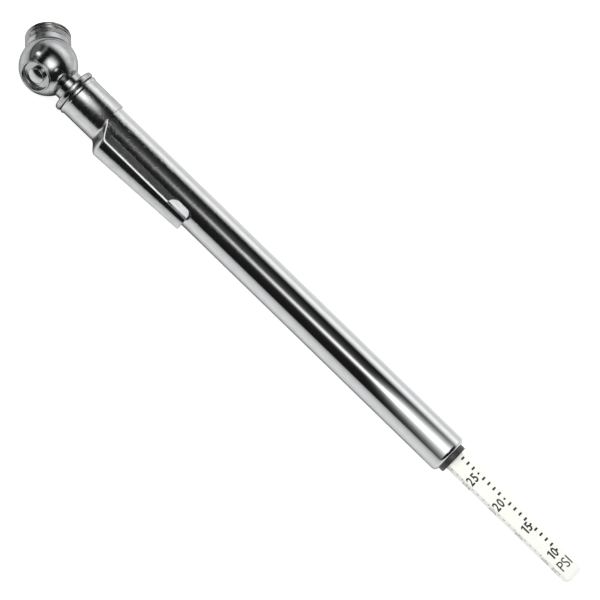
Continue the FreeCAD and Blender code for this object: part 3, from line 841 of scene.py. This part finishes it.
@dataclass
class Barrel:
    """Drawn tube with its rolled end, and the guide bushing in it."""

    layout: Layout
    radius: float = 4.75
    wall: float = 0.4
    start: float = 8.9
    end: float = 125.7
    rolled: float = 1.05
    lip_gap: float = 0.03
    nose: float = 3.65
    nose_start: float = 125.0
    nose_end: float = 127.05
    nose_chamfer: float = 0.3
    body: float = 4.32
    body_chamfer: float = 0.22
    body_start: float = 121.3
    body_end: float = 124.6
    face: float = 3.1
    hole: float = 2.25
    hole_chamfer: float = 0.12
    leaf_depth: float = 2.85
    leaf_half_width: float = 1.23
    leaf_end: float = 124.56

    def tube_patch(self) -> Patch:
        """Tube: straight outside, an arc at the far end that rolls it in round the bushing, and its inside."""
        bore, lip = self.radius - self.wall, self.nose + self.lip_gap
        corners = [
            (self.radius, self.start + 0.1, 0), (self.radius, self.end, self.rolled), (lip, self.end, 0.08),
            (lip, self.end - self.wall, 0), (bore, self.end - self.wall, self.rolled - self.wall),
            (bore, self.start, 0), (self.radius, self.start, 0.1), (self.radius, self.start + 0.1, 0),
        ]
        return turned_shape(rounded(corners, steps=8), self.layout.tube, segments=160)

    def bushing_patch(self, segments: int = 96) -> Patch:
        """Bushing: rows run from the hole's inner end out over the body and the nose and back through the hole.

        A row's reach at an angle a is its radius where it is round, and half / max(|cos a|, |sin a|) where it is
        square; the brake leaf's recess is depth / cos a within its width.

        Args:
            segments: columns of the grid, a multiple of 8 so that the square's corners are on it.

        Returns:
            The patch.
        """
        angle = np.linspace(0, 2 * math.pi, segments, endpoint=False)
        square = self.hole / np.maximum(np.abs(np.cos(angle)), np.abs(np.sin(angle)))
        inside = (np.cos(angle) > 0) & (np.abs(np.tan(angle)) * self.leaf_depth <= self.leaf_half_width)
        recess = np.where(inside, self.leaf_depth / np.maximum(np.cos(angle), 0.1), square)
        outside = rounded([
            (self.body - self.body_chamfer, self.body_start, 0), (self.body, self.body_start, 0.1),
            (self.body, self.body_end, 0.3), (self.nose, self.nose_start, 0.2),
            (self.nose, self.nose_end, self.nose_chamfer), (self.face, self.nose_end, 0),
        ])
        rows = [
            (recess, self.body_start), *outside, (square * (1 + self.hole_chamfer / self.hole), self.nose_end),
            (square, self.nose_end - self.hole_chamfer), (square, self.leaf_end), (recess, self.leaf_end),
            (recess, self.body_start),
        ]
        grid = np.array([np.stack([0 * angle + reach, 0 * angle + station], -1) for reach, station in rows])
        points = np.stack([grid[..., 0] * np.cos(angle), grid[..., 0] * np.sin(angle), grid[..., 1]], -1)
        return grid_patch(self.layout.bar.place(points))

    def build(self) -> None:
        """Make and dress the tube, its bushing and the steel pieces in it."""
        make_piece("drawn_tube", [self.tube_patch()], TUBE_CHROME, Slot.TUBE, "barrel", ["barrel_tube"], sharp=50)
        make_piece("guide_bushing", [self.bushing_patch()], NYLON, Slot.NYLON, "barrel", ["end_bushing"])
        self.layout.dress(STEEL, "brake_leaf", "spring_washer")


# ---------------------------------------------------------------- pocket clip


@dataclass
class PocketClip:
    """Pocket clip, one bent sheet: a band round the tube, a ramp, a long crowned blade and two turned-down ears."""

    layout: Layout
    tube: float = 4.75
    sheet: float = 0.4
    band: float = 5.15
    band_start: float = 8.95
    band_end: float = 18.45
    band_gap: float = 0.02
    bead: float = 0.2
    bead_width: float = 0.6
    bead_foot: float = 0.9
    ramp: float = 3.4
    ramp_lap: float = 0.02
    rise: float = 9.2
    fall: float = 7.8
    tip: float = 46.85
    crown: float = 3.92
    root_width: float = 5.5
    root_flare: float = 2.4
    flare_reach: float = 1.1
    tip_width: float = 4.1
    corner: float = 0.5
    ear_start: float = 41.15
    ear_end: float = 46.75
    ear_gap: float = 0.15
    ear_lap: float = 0.05
    ear_least: float = 0.04
    ear_rises: tuple[float, float] = (0.42, 0.28)
    ear_lean: float = 0.16
    ear_bend: float = 0.3
    sheared: float = 0.3
    liner: float = 0.02
    liner_trim: float = 0.22

    def band_patch(self) -> Patch:
        """Band, turned about the tube's axis, with a rolled bead at its front edge."""
        top, bore, start = self.band + self.bead, self.tube + self.band_gap, self.band_start
        corners = [
            (bore, start, 0), (top, start, 0.22), (top, start + self.bead_width, 0.25),
            (self.band, start + self.bead_foot, 0.25), (self.band, self.band_end, 0.08), (bore, self.band_end, 0),
            (bore, start, 0),
        ]
        return turned_shape(rounded(corners), self.layout.tube, segments=160)

    def blade_face(self, inset: float, trim: float = 0.0) -> Array:
        """One face of ramp and blade: at each station an arc of radius r whose crown is at a height h over the axis.

        A point at a turn a from the crown is at across = h - r + r cos a, side = r sin a. The height and the radius
        ease from the band's to the blade's along the ramp. The width flares at the root, narrows from there to the
        tip, and follows quarter circles at the tip's two corners.

        Args:
            inset: how far it stands in from the outer face.
            trim: how much narrower it is at each edge.

        Returns:
            The grid of points.
        """
        ramp_end = self.band_end + self.ramp
        station = np.concatenate([
            np.linspace(self.band_end - self.ramp_lap, ramp_end, 26), np.linspace(ramp_end, self.tip, 60)[1:],
        ])
        step = eased((station - self.band_end) / self.ramp)
        run = np.clip((station - ramp_end) / (self.tip - ramp_end), 0, 1)
        height = self.band + (self.rise - self.band) * step + (self.fall - self.rise) * run
        radius = self.band + (self.crown - self.band) * step
        width = self.root_width + (self.tip_width - self.root_width) * run
        flare = np.clip(1 - (station - self.band_end) / (self.flare_reach * self.ramp), 0, 1)
        corner = np.clip(1 - (self.tip - station) / self.corner, 0, 1)
        width = width + self.root_flare * flare**2 - 2 * self.corner * (1 - np.sqrt(np.maximum(1 - corner**2, 0)))
        half = np.arcsin(np.clip((width / 2 - trim) / radius, -1, 1))
        turn = half[:, None] * np.linspace(-1, 1, 25)
        reach = (radius - inset)[:, None]
        return self.layout.tube.place(np.stack([
            (height - radius)[:, None] + reach * np.cos(turn), reach * np.sin(turn), station[:, None] + 0 * turn,
        ], -1))

    def ear_patch(self, hand: int) -> Patch:
        """One ear: it leaves the blade's edge, bends down and ends just over the tube.

        Its depth along its length follows a quarter ellipse at the head's side and a short one at the tip.

        Args:
            hand: 1 or -1, which edge of the blade.

        Returns:
            The patch.
        """
        share = np.linspace(0, 1, 33)[:, None]
        down = np.linspace(0, 1, 13)[None]
        station = self.ear_start + (self.ear_end - self.ear_start) * share
        run = (station - self.band_end - self.ramp) / (self.tip - self.band_end - self.ramp)
        height = self.rise + (self.fall - self.rise) * run
        half = (self.root_width + (self.tip_width - self.root_width) * run) / 2
        edge = height - self.crown + np.sqrt(self.crown**2 - half**2)
        near, far = (
            np.sqrt(np.clip(1 - np.clip(1 - distance / rise, 0, 1) ** 2, 0, 1))
            for distance, rise in zip((share, 1 - share), self.ear_rises)
        )
        foot = math.sqrt((self.tube + self.ear_gap) ** 2 - (self.tip_width / 2 - self.sheet) ** 2)
        depth = (edge + self.ear_lap - foot) * (self.ear_least + (1 - self.ear_least) * near * far)
        bend = np.minimum(down / self.ear_bend, 1)

        def face(inset: float) -> Array:
            """One face of the sheet: it leans in by the blade's slope at the top and hangs straight below.

            Args:
                inset: how far it stands in from the outer face.

            Returns:
                The grid of points.
            """
            out = half - inset + self.ear_lean * (bend * (2 - bend) - 1)
            across = edge + self.ear_lap - depth * down
            return self.layout.tube.place(np.stack([across, hand * out + 0 * across, station + 0 * across], -1))

        return shell_patch(face(0), face(self.sheet))

    def build(self) -> None:
        """Make the clip, dress it, and let it bend between the barrel and the tongue."""
        tube, ramp_end = self.layout.tube, self.band_end + self.ramp
        blade = shell_patch(self.blade_face(0, self.sheared), self.blade_face(self.sheet))
        sheet = [self.band_patch(), blade, self.ear_patch(1), self.ear_patch(-1)]
        clip = make_piece("pocket_clip", sheet, CLIP_CHROME, Slot.CLIP, "", ["clip_band", "clip_tongue"], bevel=0.19)
        inner = [self.blade_face(self.sheet + depth, self.liner_trim) for depth in (-self.liner / 2, self.liner)]
        underside = make_piece("clip_underside", [shell_patch(*inner)], DULL_STEEL, Slot.CLIP, sharp=60)
        for piece in (clip, underside):
            start, end = (tube.metres(self.band, station) for station in (self.band_end, ramp_end))
            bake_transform(piece)
            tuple(start)
            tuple(end)


# ---------------------------------------------------------------- indicator


@dataclass
class Indicator:
    """Square bar with the scale printed on its four faces, and the stop on its inner end.

    In digit_widths and digit_middles the second value is for a one and for a number that starts with it. In boldness
    it is for words. The flag holds how far a one's flag lies under its top: outer end above, outer end below, root.
    """

    layout: Layout
    half: float = 2.15
    edge: float = 0.22
    start: float = 64.85
    shoulder: float = 68.05
    tip: float = 164.45
    tip_rounding: float = 1.2
    closed: float = 0.001
    corner_growth: float = 0.25
    corner_most: float = 0.9
    tenon: float = 1.5
    tenon_lap: float = 0.2
    ink_lift: float = 0.012
    psi_step: float = 1.618
    first_psi: int = 10
    last_psi: int = 50
    numbered: int = 5
    first_mark: float = 7.22
    mark_row: float = -1.2
    mark_length: float = 0.92
    mark_width: float = 0.48
    mark_power: float = 0.35
    dot: float = 0.27
    digit_height: float = 2.3
    digit_widths: tuple[float, float] = (1.06, 0.78)
    digit_gap: float = 0.28
    digit_middles: tuple[float, float] = (0.77, 0.05)
    unit_height: float = 2.45
    unit_middle: float = -0.15
    unit_width: float = 3.1
    unit_place: float = 3.85
    boldness: tuple[float, float] = (0.026, 0.0)
    stem: float = 0.4
    flag: tuple[float, float, float] = (0.38, 0.66, 0.4)

    def section(self, half: Array, corner: Array, steps: int = 6) -> Array:
        """Rounded squares: each quarter is an arc about (half - corner, half - corner), turned by 90 degrees a time.

        Args:
            half: half the side, for each row.
            corner: the corners' radius, for each row.
            steps: segments of an arc.

        Returns:
            rows x points x 2.
        """
        sweep = np.linspace(0, math.pi / 2, steps + 1)
        x = (half - corner)[:, None] + corner[:, None] * np.cos(sweep)
        y = (half - corner)[:, None] + corner[:, None] * np.sin(sweep)
        quarters = [(x, y), (-y, x), (-x, -y), (y, -x)]
        return np.concatenate([np.stack(pair, -1) for pair in quarters], axis=1)

    def bar_patches(self) -> list[Patch]:
        """Bar and its turned-down inner end. Over a length r before the tip, the sides are inset by
        r - sqrt(r^2 - (r - d)^2) at a distance d from the tip, and the corners' radius grows with the inset."""
        turn = np.linspace(0, math.pi / 2, 12)
        depth = self.tip_rounding * (1 - np.sin(turn))
        inset = self.tip_rounding * (1 - np.cos(turn))
        straight = np.linspace(self.shoulder, self.tip - self.tip_rounding, 40)
        half = np.concatenate([[self.closed], 0 * straight + self.half, self.half - inset[1:], [self.closed]])
        station = np.concatenate([[self.shoulder], straight, self.tip - depth[1:], [self.tip]])
        corner = np.minimum(self.edge + self.corner_growth * (self.half - half), half * self.corner_most)
        flat = self.section(half, corner)
        points = np.concatenate([flat, station[:, None, None] + 0 * flat[..., :1]], -1)
        bar = grid_patch(self.layout.bar.place(points))
        end = self.shoulder + self.tenon_lap
        tenon = rounded([(0, self.start, 0), (self.tenon, self.start, 0.1), (self.tenon, end, 0), (0, end, 0)])
        return [bar, turned_shape(tenon, self.layout.bar, segments=48)]

    def face_axes(self, face: int) -> Axes:
        """Axes on one face of the bar: across against the reading direction, side out of the face, along the bar.

        Args:
            face: which of the four.

        Returns:
            The axes, whose origin lies a little above the face.
        """
        turned = self.layout.bar.turned(90 * face)
        origin = turned.origin - turned.side * (self.half + self.ink_lift)
        return Axes(origin, turned.across, -turned.side, turned.along)

    def mark_patches(self, axes: Axes) -> list[Patch]:
        """Marks at each psi, and round dots at each numbered one: (w, h) times the signed powers of cos and sin.

        Args:
            axes: the face.

        Returns:
            One patch for each mark and dot.
        """
        psi = np.arange(self.first_psi, self.last_psi + 1)
        station = self.tip - self.first_mark - (psi - self.first_psi) * self.psi_step
        numbered = psi % self.numbered == 0
        sweep = np.linspace(0, 2 * math.pi, 24, endpoint=False)
        patches = []
        for chosen, wide, tall, power in (
            (~numbered, self.mark_length / 2, self.mark_width / 2, self.mark_power),
            (numbered, self.dot, self.dot, 1.0),
        ):
            across = wide * np.sign(np.cos(sweep)) * np.abs(np.cos(sweep)) ** power
            along = tall * np.sign(np.sin(sweep)) * np.abs(np.sin(sweep)) ** power
            for middle in station[chosen]:
                flat = np.stack([self.mark_row + across, 0 * across, middle + along], -1)
                rows = np.stack([flat, flat * 0 + [self.mark_row, 0, middle]])
                patches.append(grid_patch(axes.place(rows)))
        return patches

    def lettering(self, text: str, axes: Axes, middle: tuple[float, float], size: tuple[float, float]) -> Patch:
        """A word of the scale, from the built-in font, fitted to a width and a height.

        Args:
            text: the word.
            axes: the face.
            middle: (across, station) of its middle.
            size: its width and height.

        Returns:
            The patch, of the font's own triangles.
        """
        curve = bpy.data.curves.new(text, "FONT")
        curve.body, curve.offset = text, self.boldness[not text.isdigit()]
        holder = bpy.data.objects.new(text, curve)
        mesh = bpy.data.meshes.new_from_object(holder)
        flat = np.array([vertex.co for vertex in mesh.vertices])[:, :2]
        low, high = flat.min(0), flat.max(0)
        flat = (flat - (low + high) / 2) / (high - low) * np.array(size)
        mesh.calc_loop_triangles()
        triangles = np.array([triangle.vertices for triangle in mesh.loop_triangles])
        bpy.data.objects.remove(holder)
        bpy.data.curves.remove(curve)
        bpy.data.meshes.remove(mesh)
        place = np.stack([middle[0] - flat[:, 0], 0 * flat[:, 0], middle[1] - flat[:, 1]], -1)
        return Patch(axes.place(place), np.concatenate([triangles, triangles[:, :1]], 1))

    def one_patch(self, axes: Axes, middle: tuple[float, float], size: tuple[float, float]) -> Patch:
        """A one: a plain stem with a short flag.

        Args:
            axes: the face.
            middle: (across, station) of its middle.
            size: its width and height.

        Returns:
            The patch, of two quads.
        """
        right, top = size[0] / 2, size[1] / 2
        left = right - self.stem
        above, below, root = (top - drop for drop in self.flag)
        flat = np.array([
            (left, -top), (right, -top), (right, top), (left, top),
            (left, top), (-right, above), (-right, below), (left, root),
        ])
        place = np.stack([middle[0] - flat[:, 0], 0 * flat[:, 0], middle[1] - flat[:, 1]], -1)
        return Patch(axes.place(place), np.arange(8).reshape(2, 4))

    def number_patches(self, psi: int, station: float, axes: Axes) -> list[Patch]:
        """Two digits side by side; a one is narrow, and numbers that start with it stand nearer to the marks.

        Args:
            psi: the number.
            station: the middle of the digits along the bar.
            axes: the face.

        Returns:
            One patch for each digit.
        """
        digits = str(psi)
        widths = [self.digit_widths[digit == "1"] for digit in digits]
        edge = self.digit_middles[digits[0] == "1"] + (sum(widths) + self.digit_gap) / 2
        patches = []
        for digit, width in zip(digits, widths):
            draw = self.one_patch if digit == "1" else partial(self.lettering, digit)
            patches.append(draw(axes, (edge - width / 2, station), (width, self.digit_height)))
            edge -= width + self.digit_gap
        return patches

    def print_patches(self, faces: Sequence[int]) -> list[Patch]:
        """The whole scale, on some faces.

        Args:
            faces: which of the four.

        Returns:
            The patches.
        """
        patches: list[Patch] = []
        for face in faces:
            axes = self.face_axes(face)
            patches += self.mark_patches(axes)
            for psi in range(self.first_psi, self.last_psi + 1, self.numbered):
                station = self.tip - self.first_mark - (psi - self.first_psi) * self.psi_step
                patches += self.number_patches(psi, station, axes)
            middle, size = (self.unit_middle, self.tip - self.unit_place), (self.unit_width, self.unit_height)
            patches.append(self.lettering("PSI", axes, middle, size))
        return patches

    def build(self) -> None:
        """Make and dress the bar, its print and the stop."""
        bar = self.bar_patches()
        make_piece("indicator_bar_body", bar, IVORY, Slot.IVORY, "indicator", ["indicator_bar"], sharp=45)
        for name, faces, ink in (("scale_print", [0, 2, 3], INK), ("scale_print_rubbed", [1], WORN_INK)):
            scale = self.print_patches(faces)
            make_piece(name, scale, ink, Slot.IVORY, "indicator", around=self.layout.bar.origin)
        self.layout.dress(BRASS, "bar_stop")
        self.layout.dress(STEEL, "bar_pin")


# ---------------------------------------------------------------- piston and spring


@dataclass
class Piston:
    """Piston, its cup, plate and screw, and the main spring behind it."""

    layout: Layout
    wire: float = 0.25
    coil: float = 3.85
    turns: int = 34
    near: float = 61.08
    far: float = 120.52

    def spring_patch(self, steps: int = 30, around: int = 10) -> Patch:
        """Round wire carried along a helix, whose centre is (coil cos a, coil sin a, near + pitch * a / 2 pi).

        The wire's circle lies in the plane of the radial and the along direction, and each end closes on its centre.

        Args:
            steps: rows for each turn.
            around: columns round the wire.

        Returns:
            The patch.
        """
        turn = np.linspace(0, 2 * math.pi * self.turns, steps * self.turns + 1)[:, None]
        turn = np.concatenate([turn[:1], turn, turn[-1:]])
        wire = np.linspace(0, 2 * math.pi, around, endpoint=False)[None]
        size = np.full_like(turn, self.wire)
        size[0] = size[-1] = 0.0
        radius = self.coil + size * np.cos(wire)
        station = self.near + (self.far - self.near) * turn / turn[-1] + size * np.sin(wire)
        points = np.stack([radius * np.cos(turn), radius * np.sin(turn), station], -1)
        return grid_patch(self.layout.tube.place(points))

    def build(self) -> None:
        """Make and dress the spring, and dress the piston's nodes."""
        tube = self.layout.tube
        spring = make_piece("coil_spring", [self.spring_patch()], STEEL, Slot.STEEL, "", ["main_spring"])
        tube.metres(0, self.near)
        tube.metres(0, self.far)
        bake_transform(spring)
        self.layout.dress(BRASS, "piston_body")
        self.layout.dress(STEEL, "cup_plate", "piston_screw")
        self.layout.dress(RUBBER, "piston_cup")


# ---------------------------------------------------------------- studio


@dataclass(frozen=True)
class Lamp:
    """One soft lamp on a cylinder about the tube's axis: lengths in millimetres along X, turns in degrees
    from overhead towards the front."""

    name: str
    distance: float
    start: float
    end: float
    turn: float
    spread: float
    level: float
    soft_start: float
    soft_end: float
    power: float = 2.0
    start_level: float = 1.0
    growth: float = 1.0
    taper: float = 1.0


LAMPS = (
    Lamp("round_lamp", 25.0, -3.0, 21.0, 26.0, 16.0, 1.7, 8.0, 8.0, power=2.4),
    Lamp("strip_lamp", 400.0, -25.0, 150.0, 32.0, 8.0, 1.65, 10.0, 40.0, start_level=0.04, growth=135.0),
    Lamp("strip_glow", 400.0, -60.0, 150.0, 24.0, 20.0, 0.07, 40.0, 40.0),
    Lamp("end_lamp", 50.0, 102.5, 149.0, 30.0, 38.0, 2.2, 14.0, 15.0, power=1.4, taper=0.28),
    Lamp("head_left_lamp", 60.0, -125.0, -48.0, 27.0, 10.0, 2.4, 25.0, 20.0),
    Lamp("far_lamp", 400.0, 255.0, 370.0, 27.0, 7.0, 1.8, 40.0, 40.0),
)


@dataclass
class Studio:
    """Pale floor, a pale wall behind, a dark room over the camera, and soft lamps above the tube.

    Directions are parts of a unit vector, heights are degrees above the horizon, and levels are 1 for white.
    """

    layout: Layout
    level: float = 0.84
    key_power: float = 2.0
    key_size: float = 0.7
    key_place: tuple[float, float, float] = (0.0, -0.35, 0.95)
    key_tilt: float = 20.0
    floor_size: float = 6000.0
    floor_albedo: tuple[float, float] = (0.776, 0.8)
    fibre_size: Size = (0.8, 0.8, 0.8)
    floor_to_camera: float = 0.75
    floor_to_metal: float = 1.28
    floor_fade: float = 72.0
    floor_left: float = 10.0
    contact: float = 20.0
    contact_dark: float = 0.05
    contact_range: tuple[float, float] = (0.45, 0.54)
    horizon: tuple[float, float] = (-1.0, 0.5)
    wall_level: tuple[float, float] = (0.91, 1.38)
    wall_rise: tuple[float, float] = (18.0, 40.0)
    wall_edge: tuple[float, float] = (0.30, 0.76)
    side_glow: float = 0.22
    side_edge: tuple[float, float] = (-0.72, -0.60)
    dark: float = 0.012

    def world(self) -> None:
        """World: an even level for the object, and a room that only metal mirrors.

        The room is a sum of products of smooth steps. Behind is a wall that brightens with its height. At the head's
        side, in front of the wall, is a dim window with a darker and a lighter upright stripe. Below the horizon is
        the far floor, brighter behind. The rest is dark.
        """
        world = bpy.data.worlds.new("room")
        bpy.context.scene.world = world
        world.use_nodes = True
        world.node_tree.nodes.clear()
        add = partial(add_node, world.node_tree)
        way = add("SeparateXYZ", {0: add("TexCoord").outputs["Generated"]})
        rise = add("Math", {0: way.outputs[2]}, operation="ARCSINE")
        height = add("Math", {0: rise}, operation="DEGREES")
        right, back = way.outputs[0], way.outputs[1]
        step = {
            name: add(
                "MapRange",
                {"Value": value, "From Min": start, "From Max": end, "To Min": before, "To Max": after},
                interpolation_type="SMOOTHSTEP",
            )
            for name, value, (start, end), (before, after) in (
                ("behind", back, self.wall_edge, (0.0, 1.0)), ("in front", back, self.wall_edge, (1.0, 0.0)),
                ("above", height, self.horizon, (0.0, 1.0)), ("below", height, self.horizon, (0.9, 0.0)),
                ("wall", height, self.wall_rise, self.wall_level), ("far floor", back, (-0.2, 0.3), (0.1, 1.0)),
                ("side", right, self.side_edge, (1.0, 0.0)), ("near stripe", right, (-0.80, -0.76), (0.25, 1.0)),
                ("far stripe", right, (-0.92, -0.88), (0.6, 0.0)),
            )
        }
        stripes = add("Math", {0: step["near stripe"], 1: step["far stripe"]}, operation="ADD")
        room: Any = self.dark
        for first, *others in (
            (step["behind"], step["wall"], step["above"]),
            (step["side"], step["above"], step["in front"], stripes, self.side_glow),
            (step["below"], step["far floor"]),
        ):
            for other in others:
                first = add("Math", {0: first, 1: other}, operation="MULTIPLY")
            room = add("Math", {0: first, 1: room}, operation="ADD")
        path = add("LightPath")
        camera, through = path.outputs["Is Camera Ray"], path.outputs["Is Transmission Ray"]
        seen = add("Math", {0: camera, 1: through}, operation="MAXIMUM")
        even = add("Mix", {0: seen, 2: self.level, 3: 1.0}, data_type="FLOAT")
        strength = add("Mix", {0: path.outputs["Is Glossy Ray"], 2: even, 3: room}, data_type="FLOAT")
        add("OutputWorld", {"Surface": add("Background", {"Color": linear("#FFFFFF"), "Strength": strength})})

    def floor(self) -> None:
        """Plain pale floor under the object: it keeps the object's shadow, and shows white to the camera.

        What metal mirrors of it fades towards the front and the left as exp(distance / fade), and is dark where the
        object stands close over it.
        """
        half, level = self.floor_size / 2, self.layout.floor
        corners = np.array([(-half, -half, level), (half, -half, level), (half, half, level), (-half, half, level)])
        mesh = bpy.data.meshes.new("floor")
        mesh.from_pydata((corners * MM).tolist(), [], [(0, 1, 2, 3)])
        material, add = new_material("matt_white_paper")
        place = add("TexCoord").outputs["Object"]
        scaled = add("Mapping", {"Vector": place, "Scale": per_feature(self.fibre_size)})
        fibre = add("TexNoise", {"Vector": scaled, "Scale": 1.0, "Detail": 3.0})
        near = add("AmbientOcclusion", {"Distance": self.contact * MM}, samples=8).outputs["AO"]
        tone, open_share = (
            add("MapRange", {"Value": value, "From Min": start, "From Max": end, "To Min": least, "To Max": most})
            for value, (start, end), (least, most) in (
                (fibre, (NOISE_LOW, NOISE_HIGH), self.floor_albedo),
                (near, self.contact_range, (self.contact_dark, 1.0)),
            )
        )
        spot = add("SeparateXYZ", {0: place})
        shifted = add("Math", {0: spot.outputs[0], 1: self.floor_left * MM}, operation="ADD")
        front = add("Math", {0: spot.outputs[1], 1: 0.0}, operation="MINIMUM")
        left = add("Math", {0: shifted, 1: 0.0}, operation="MINIMUM")
        away = add("Math", {0: front, 1: left}, operation="ADD")
        away = add("Math", {0: away, 1: self.floor_fade * MM}, operation="DIVIDE")
        fade = add("Math", {0: away}, operation="EXPONENT")
        path = add("LightPath")
        camera, through = path.outputs["Is Camera Ray"], path.outputs["Is Transmission Ray"]
        seen = add("Math", {0: camera, 1: through}, operation="MAXIMUM")
        glossy = mirrored = path.outputs["Is Glossy Ray"]
        for factor in (open_share, fade, self.floor_to_metal):
            mirrored = add("Math", {0: mirrored, 1: factor}, operation="MULTIPLY")
        glow = add("Math", {0: seen, 1: self.floor_to_camera, 2: mirrored}, operation="MULTIPLY_ADD")
        colour = add("Mix", {
            0: glossy, 6: add("CombineColor", {0: tone, 1: tone, 2: tone}), 7: linear("#000000"),
        }, data_type="RGBA")
        paper = add("BsdfDiffuse", {"Color": colour.outputs[2]})
        light = add("Emission", {"Color": linear("#FFFFFF"), "Strength": glow})
        add("OutputMaterial", {"Surface": add("AddShader", {0: paper, 1: light})})
        mesh.materials.append(material)
        add_object("floor", mesh)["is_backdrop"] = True

    def lamp_panel(self, lamp: Lamp, reach: float = 2.6) -> None:
        """A lamp that only metal mirrors: part of a cylinder about the tube's axis with a soft-edged glow on it.

        The brightness at a place x and a turn b from the lamp's middle line is the product of a soft step in x at
        each end and exp(-|b / spread| ^ power), and it grows from the start level to 1 along the lamp. The spread
        grows from the taper's share of it to the whole.

        Args:
            lamp: its place, size and edges.
            reach: how many spreads the panel goes to each side.
        """
        turn = np.linspace(lamp.turn - reach * lamp.spread, lamp.turn + reach * lamp.spread, 80)
        turn, place = np.meshgrid(turn, np.linspace(lamp.start, lamp.end, 120))
        centre, angle = self.layout.tube.origin, np.radians(turn)
        points = np.stack([
            place, centre[1] - lamp.distance * np.sin(angle), centre[2] + lamp.distance * np.cos(angle),
        ], -1)
        patch = grid_patch(points, wrap=False)
        mesh = bpy.data.meshes.new(lamp.name)
        mesh.from_pydata((patch.points * MM).tolist(), [], patch.faces.tolist())
        ends = eased((place - lamp.start) / lamp.soft_start) * eased((lamp.end - place) / lamp.soft_end)
        growth = lamp.start_level + (1 - lamp.start_level) * eased((place - lamp.start) / lamp.growth)
        width = lamp.spread * (lamp.taper + (1 - lamp.taper) * (place - lamp.start) / (lamp.end - lamp.start))
        glow = lamp.level * ends * growth * np.exp(-np.abs((turn - lamp.turn) / width) ** lamp.power)
        brightness = mesh.attributes.new("brightness", "FLOAT", "POINT")
        brightness.data.foreach_set("value", glow.reshape(-1).astype(np.float32))
        material, add = new_material(lamp.name)
        level = add("Attribute", attribute_name="brightness").outputs["Fac"]
        light = add("Emission", {"Color": linear("#FFFFFF"), "Strength": level})
        add("OutputMaterial", {"Surface": add("AddShader", {0: add("BsdfTransparent"), 1: light})})
        mesh.materials.append(material)
        panel = add_object(lamp.name, mesh)
        panel.visible_camera = panel.visible_diffuse = panel.visible_transmission = panel.visible_shadow = False
        panel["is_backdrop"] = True

    def key(self) -> None:
        """Soft key lamp above and in front, which the metal doesn't mirror. Its place and size are metres."""
        light = bpy.data.lights.new("key", "AREA")
        light.shape, light.size, light.energy = "DISK", self.key_size, self.key_power
        lamp = add_object("key", light)
        lamp.location = self.key_place
        lamp.rotation_euler = (math.radians(self.key_tilt), 0, 0)
        lamp.visible_glossy = False

    def build(self) -> None:
        """Set the whole studio up."""
        self.world()
        self.floor()
        for lamp in LAMPS:
            self.lamp_panel(lamp)
        self.key()
        bpy.context.scene.view_settings.view_transform = "Standard"


@dataclass
class Viewpoint:
    """Camera at the viewing angle: leaned from overhead towards the front, swung towards the tip and turned."""

    layout: Layout
    lean: float = 39.5
    swing: float = 2.8
    turn: float = 44.15
    distance: float = 1000.0
    seen: float = 134.44
    sensor: float = 36.0
    target_along: float = 77.3
    target_up: float = 1.68

    def build(self) -> None:
        """Make the camera and give it to the scene."""
        lean, swing, turn = (math.radians(angle) for angle in (self.lean, self.swing, self.turn))
        straight = np.array([0, -math.sin(lean), math.cos(lean)])
        down = np.array([0, -math.cos(lean), -math.sin(lean)])
        along = np.array([1.0, 0, 0])
        back = straight * math.cos(swing) + along * math.sin(swing)
        run = along * math.cos(swing) - straight * math.sin(swing)
        right = math.cos(turn) * run - math.sin(turn) * down
        below = math.sin(turn) * run + math.cos(turn) * down
        target = self.layout.tube.origin + self.target_along * along - self.target_up * down
        place = (target + self.distance * back) * MM
        data = bpy.data.cameras.new("camera")
        data.sensor_width = self.sensor
        data.lens = self.sensor * self.distance / self.seen
        data.clip_start, data.clip_end = 0.01, 20.0
        camera = add_object("camera", data)
        camera.matrix_world = Matrix([*np.stack([right, -below, back, place], 1).tolist(), (0, 0, 0, 1)])
        bpy.context.scene.camera = camera


def main() -> None:
    """Load the frame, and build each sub-assembly in order."""
    logging.basicConfig(level=logging.INFO, format="%(name)s: %(message)s")
    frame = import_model()
    layout = Layout.read(frame)
    for assembly in (Head, Barrel, PocketClip, Indicator, Piston, Studio, Viewpoint):
        assembly(layout).build()
        log.info("built %s", assembly.__name__)


if __name__ == "__main__":
    main()
